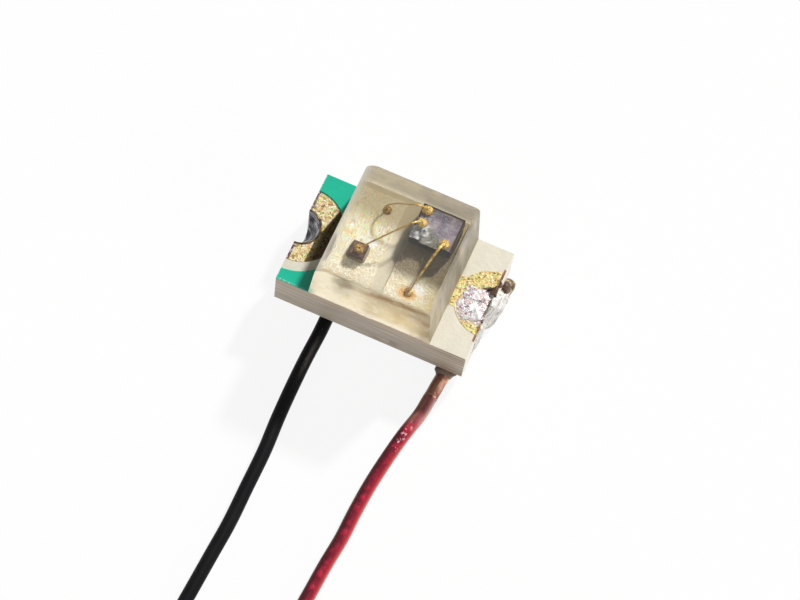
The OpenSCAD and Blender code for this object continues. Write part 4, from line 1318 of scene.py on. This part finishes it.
class LED_OT_bonds(bpy.types.Operator):
    """Loops the three gold bond wires between the dies and foils"""

    bl_idname = "chip_led.bonds"
    bl_label = "Bond wires"

    def execute(self, context):
        sizes = context.scene.led_sizes
        gold, drawn = bond_finish("bond_gold", 38, 0.014), bond_finish("bond_wire_gold", 20, 0.003)
        # Radius, height and flatness of each kind of bond
        ball, stitch = (sizes.ball / 2, 0.05 * MM, 0.5), (0.045 * MM, 0.03 * MM, 0.9)
        inset = sizes.ball / 2 + 0.01 * MM
        top, low = FLASHER[1], FLASHER[0]
        supply = Vector((low.x + inset, top.y - inset, top.z))
        emitter = Vector((low.x + inset, supply.y - sizes.ball - 0.045 * MM, top.z))
        back = Vector((low.x + (top.x - low.x) * 0.8, low.y + inset * 0.85, top.z))
        crystal = halved(EMITTER)[0]
        crystal.z = EMITTER[1].z
        left_stitch = Vector(((crystal.x + LEFT_FOIL[1].x) / 2 - 0.04 * MM, HALF_WIDTH * 0.65, FOIL_TOP))
        right_stitch = Vector(((low.x + top.x) / 2, -HALF_WIDTH * 0.5, FOIL_TOP))
        # Shares of the way along a wire, with its height at each as a share of the highest
        steep = [(0, 0.3), (0.02, 0.6), (0.1, 0.92), (0.25, 1.0), (0.5, 0.94), (0.75, 0.82),
                 (0.93, 0.62), (1.03, 0.42), (1.05, 0.24), (1.02, 0.10), (1, 0)]
        slack = [(0, 0.3), (0.01, 0.6), (0.07, 0.92), (0.18, 1.0), (0.36, 0.84), (0.55, 0.64),
                 (0.72, 0.44), (0.87, 0.22), (0.95, 0.08), (1, 0)]
        for name, start, end, shape, foot, thick, thin in (
                ("supply_bond_wire", supply, left_stitch, steep, stitch, 0.8, 0.65),
                ("emitter_bond_wire", emitter, crystal, slack, ball, 0.8, 0.8),
                ("return_bond_wire", back, right_stitch, slack, stitch, 1.5, 0.6)):
            path = smooth_path(self.loop(start, end, shape), 5)
            radii = []
            for k in range(len(path)):
                share = k / (len(path) - 1)
                ease = min(share * 1.3, 1) ** 2
                radii.append(sizes.bond_wire / 2 * (thick + (thin - thick) * ease))
            wire = tube(path, radii, 10)
            solids = joined(wire, self.dome(start, *ball), self.dome(end, *foot))
            made = piece(name, *solids, gold, "bond_gold", [name])
            made.data.materials.append(drawn)
            for face in made.data.polygons[:len(wire[1])]:
                face.material_index = 1
        return {"FINISHED"}

    def loop(self, start, end, shape):
        """Points of a wire that rises off its ball and falls to its far end."""
        peak = FLASHER[1].z + 0.13 * MM
        foot = end.z + 0.02 * MM
        rise_from = start.z + 0.03 * MM
        points = []
        for share, level in shape:
            height = foot + (peak - foot) * level
            if share < 0.2:
                height = max(height, rise_from)
            flat = start.lerp(end, share)
            points.append(Vector((flat.x, flat.y, height)))
        points[0].z = rise_from
        return points

    def dome(self, at, radius, height, flatness):
        """A ball or a stitch bond, squashed and crumpled."""
        rings, sides = 9, 28
        points = []
        for r in range(rings + 1):
            turn = math.pi / 2 * r / rings
            for s in range(sides):
                around = 2 * math.pi * s / sides
                place = Vector((math.cos(around) * 2.2 + at.x * 9000, math.sin(around) * 2.2, r * 0.5))
                reach = radius * (1 + 0.25 * noise.noise(place)) * math.cos(turn) ** flatness
                level = height * math.sin(turn) * (1 + 0.35 * noise.noise(place * 1.6))
                points.append(at + Vector((reach * math.cos(around), reach * math.sin(around),
                                           level - 0.002 * MM)))
        return points, ring_faces(rings + 1, sides)


class LED_OT_joints(bpy.types.Operator):
    """Makes the solder joints and the bare wire ends in them"""

    bl_idname = "chip_led.joints"
    bl_label = "Solder joints and wire ends"

    def execute(self, context):
        sizes, colours = context.scene.led_sizes, context.scene.led_colours
        self.black_end(sizes)
        self.red_end(sizes, copper_finish(colours))
        self.left_joint(sizes, dark_solder_finish(colours))
        self.right_joint(solder_finish(), flux_finish())
        return {"FINISHED"}

    def black_end(self, sizes):
        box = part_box("black_wire_end")
        x, z = (box[0].x + box[1].x) / 2, sizes.lead / 2
        path = [Vector((x, box[0].y + (box[1].y - box[0].y) * k / 8, z)) for k in range(9)]
        radii = [sizes.lead / 2] * 8 + [sizes.lead * 0.3]
        piece("black_wire_end", *tube(path, radii), tinned_finish(), "tinned_wire", ["black_wire_end"])

    def red_end(self, sizes, copper):
        """Bare copper from the stub past the board's end to where the enamel begins."""
        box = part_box("red_wire_end")
        r = sizes.lead / 2
        start = Vector((box[1].x - r, box[1].y - r * 0.2, r))
        corner = Vector((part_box("red_lead")[1].x - r + 0.03 * MM, -HALF_WIDTH, r))
        end = Vector((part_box("red_lead")[1].x - r, box[0].y, r))
        path = smooth_path([start, start.lerp(corner, 0.33), start.lerp(corner, 0.66), corner, end], 8)
        radii = [r * (1 - 0.06 * abs(noise.noise((k * 0.35, 3, 0)))) for k in range(len(path))]
        radii[0] *= 0.75
        piece("red_wire_end", *tube(path, radii, 20), copper, "bare_copper", ["red_wire_end"])

    def left_joint(self, sizes, solder):
        """A cap under the board and a hollow ramp of solder in the notch."""
        blobs = [((-0.66, 0.0, 0.05), (0.34, 0.40, 0.11), 0), ((-0.47, -0.1, 0.05), (0.13, 0.36, 0.10), 0),
                 ((-0.86, 0.0, 0.08), (0.13, 0.18, 0.10), 0)]

        def shape(p):
            return Vector((max(p.x, -0.985), p.y, max(p.z, 0.0)))

        cap = melt(blobs, 0.014, shape)
        r = sizes.notch - sizes.plating
        top = FOIL_TOP / MM - 0.01

        def height(inward, y):
            from_wall = 1 - min(math.hypot(inward, y), 1)
            rough = 0.02 * noise.noise((inward * 3, y * 5, 0))
            return (top - 0.34 * from_wall ** 0.75 + rough * from_wall) * MM

        ramp = self.notch_fill(-1, r, 0.07 * MM, 0.04 * MM, height)
        piece("left_solder_joint", *joined(cap, ramp), solder, "solder", ["left_solder_joint"])

    def notch_fill(self, end, radius, low, set_back, height):
        """Solder in a notch, under a top whose height goes by depth and place across."""
        across, deep = 44, 18
        points = []
        for i in range(across + 1):
            turn = math.radians(-87 + 174 * i / across)
            least = set_back / radius * (1 - math.sin(turn) ** 4)
            for j in range(deep + 1):
                inward = least + (math.cos(turn) - least) * j / deep
                points.append((end * (HALF_LENGTH - inward * radius), radius * math.sin(turn),
                               height(inward, math.sin(turn))))
        row = deep + 1
        faces = [(i * row + j, i * row + j + 1, (i + 1) * row + j + 1, (i + 1) * row + j)
                 for i in range(across) for j in range(deep)]
        rim = [i * row for i in range(across + 1)]
        rim += [across * row + j for j in range(1, row)]
        rim += [i * row + deep for i in range(across - 1, -1, -1)]
        rim += [j for j in range(deep - 1, 0, -1)]
        start = len(points)
        points += [(*points[k][:2], low) for k in rim]
        count = len(rim)
        faces += [(rim[k], rim[(k + 1) % count], start + (k + 1) % count, start + k) for k in range(count)]
        faces.append(tuple(range(start, start + count)))
        return points, faces

    def right_joint(self, solder, flux):
        """Solder over the pad, through the notch and down the end of the board to the wire."""
        top = FOIL_TOP / MM
        blobs = [((0.68, 0.0, 0.05), (0.33, 0.40, 0.11), 0), ((0.90, -0.02, 0.28), (0.09, 0.17, 0.32), 0),
                 ((0.84, -0.06, top - 0.024), (0.15, 0.20, 0.021), 0),
                 ((0.91, -0.12, top - 0.020), (0.045, 0.09, 0.028), 35),
                 ((0.94, 0.03, top - 0.045), (0.06, 0.15, 0.032), 0),
                 ((0.92, 0.15, 0.50), (0.05, 0.09, 0.07), 0),
                 ((0.99, 0.03, 0.36), (0.065, 0.14, 0.25), 0), ((1.0, 0.20, 0.20), (0.10, 0.15, 0.18), 0),
                 ((1.01, 0.36, 0.10), (0.10, 0.12, 0.11), 0), ((0.99, -0.20, 0.36), (0.036, 0.20, 0.24), 0),
                 ((1.0, 0.16, 0.10), (0.085, 0.18, 0.11), 0)]

        def shape(p):
            rough = noise.noise(p * 9) * 0.012 + noise.noise(p * 24) * 0.009
            if p.z > top - 0.05:
                flat = Vector((p.x, p.y, 0))
                aside = noise.noise(flat * 14 + flat.yxz)
                p = p + Vector((0.05 * noise.noise(flat * 14), 0.05 * aside, rough * 0.15))
            else:
                p = p + Vector((rough, rough, rough * 0.5))
            p.z = max(p.z, 0.0)
            return p

        piece("right_solder_joint", *melt(blobs, 0.008, shape), solder, "solder", ["right_solder_joint"])
        dirt = [((1.03, 0.43, 0.12), (0.055, 0.09, 0.13), 8),
                ((0.985, 0.20, top - 0.01), (0.022, 0.09, 0.022), 0),
                ((0.825, -0.60, 0.08), (0.10, 0.09, 0.085), 0), ((0.88, -0.60, 0.13), (0.07, 0.05, 0.03), 0)]
        piece("flux", *melt(dirt, 0.008, shape), flux, "solder", [])


class LED_PT_panel(bpy.types.Panel):
    """Lists the pieces of the chip LED"""

    bl_idname = "LED_PT_panel"
    bl_label = "Chip LED"
    bl_space_type = "VIEW_3D"
    bl_region_type = "UI"
    bl_category = "Chip LED"

    def draw(self, context):
        layout = self.layout
        for made in OPERATORS:
            layout.operator(made.bl_idname)
        for group in (context.scene.led_stage, context.scene.led_sizes, context.scene.led_colours):
            box = layout.box()
            for name in group.bl_rna.properties.keys():
                if name not in ("rna_type", "name"):
                    box.prop(group, name)


OPERATORS = (LED_OT_stage, LED_OT_leads, LED_OT_coils, LED_OT_board, LED_OT_foils, LED_OT_lens,
             LED_OT_dies, LED_OT_bonds, LED_OT_joints)
GROUPS = {"led_sizes": LedSizes, "led_colours": LedColours, "led_stage": LedStage}


def register():
    for made in (*GROUPS.values(), *OPERATORS, LED_PT_panel):
        bpy.utils.register_class(made)
    for name, group in GROUPS.items():
        setattr(bpy.types.Scene, name, PointerProperty(type=group))


def unregister():
    for name in GROUPS:
        delattr(bpy.types.Scene, name)
    for made in reversed((*GROUPS.values(), *OPERATORS, LED_PT_panel)):
        bpy.utils.unregister_class(made)


def main():
    """Makes the stage and every piece."""
    register()
    bpy.ops.chip_led.stage()
    bpy.ops.chip_led.leads()
    bpy.ops.chip_led.coils()
    bpy.ops.chip_led.board()
    bpy.ops.chip_led.foils()
    bpy.ops.chip_led.lens()
    bpy.ops.chip_led.dies()
    bpy.ops.chip_led.bonds()
    bpy.ops.chip_led.joints()


if __name__ == "__main__":
    main()
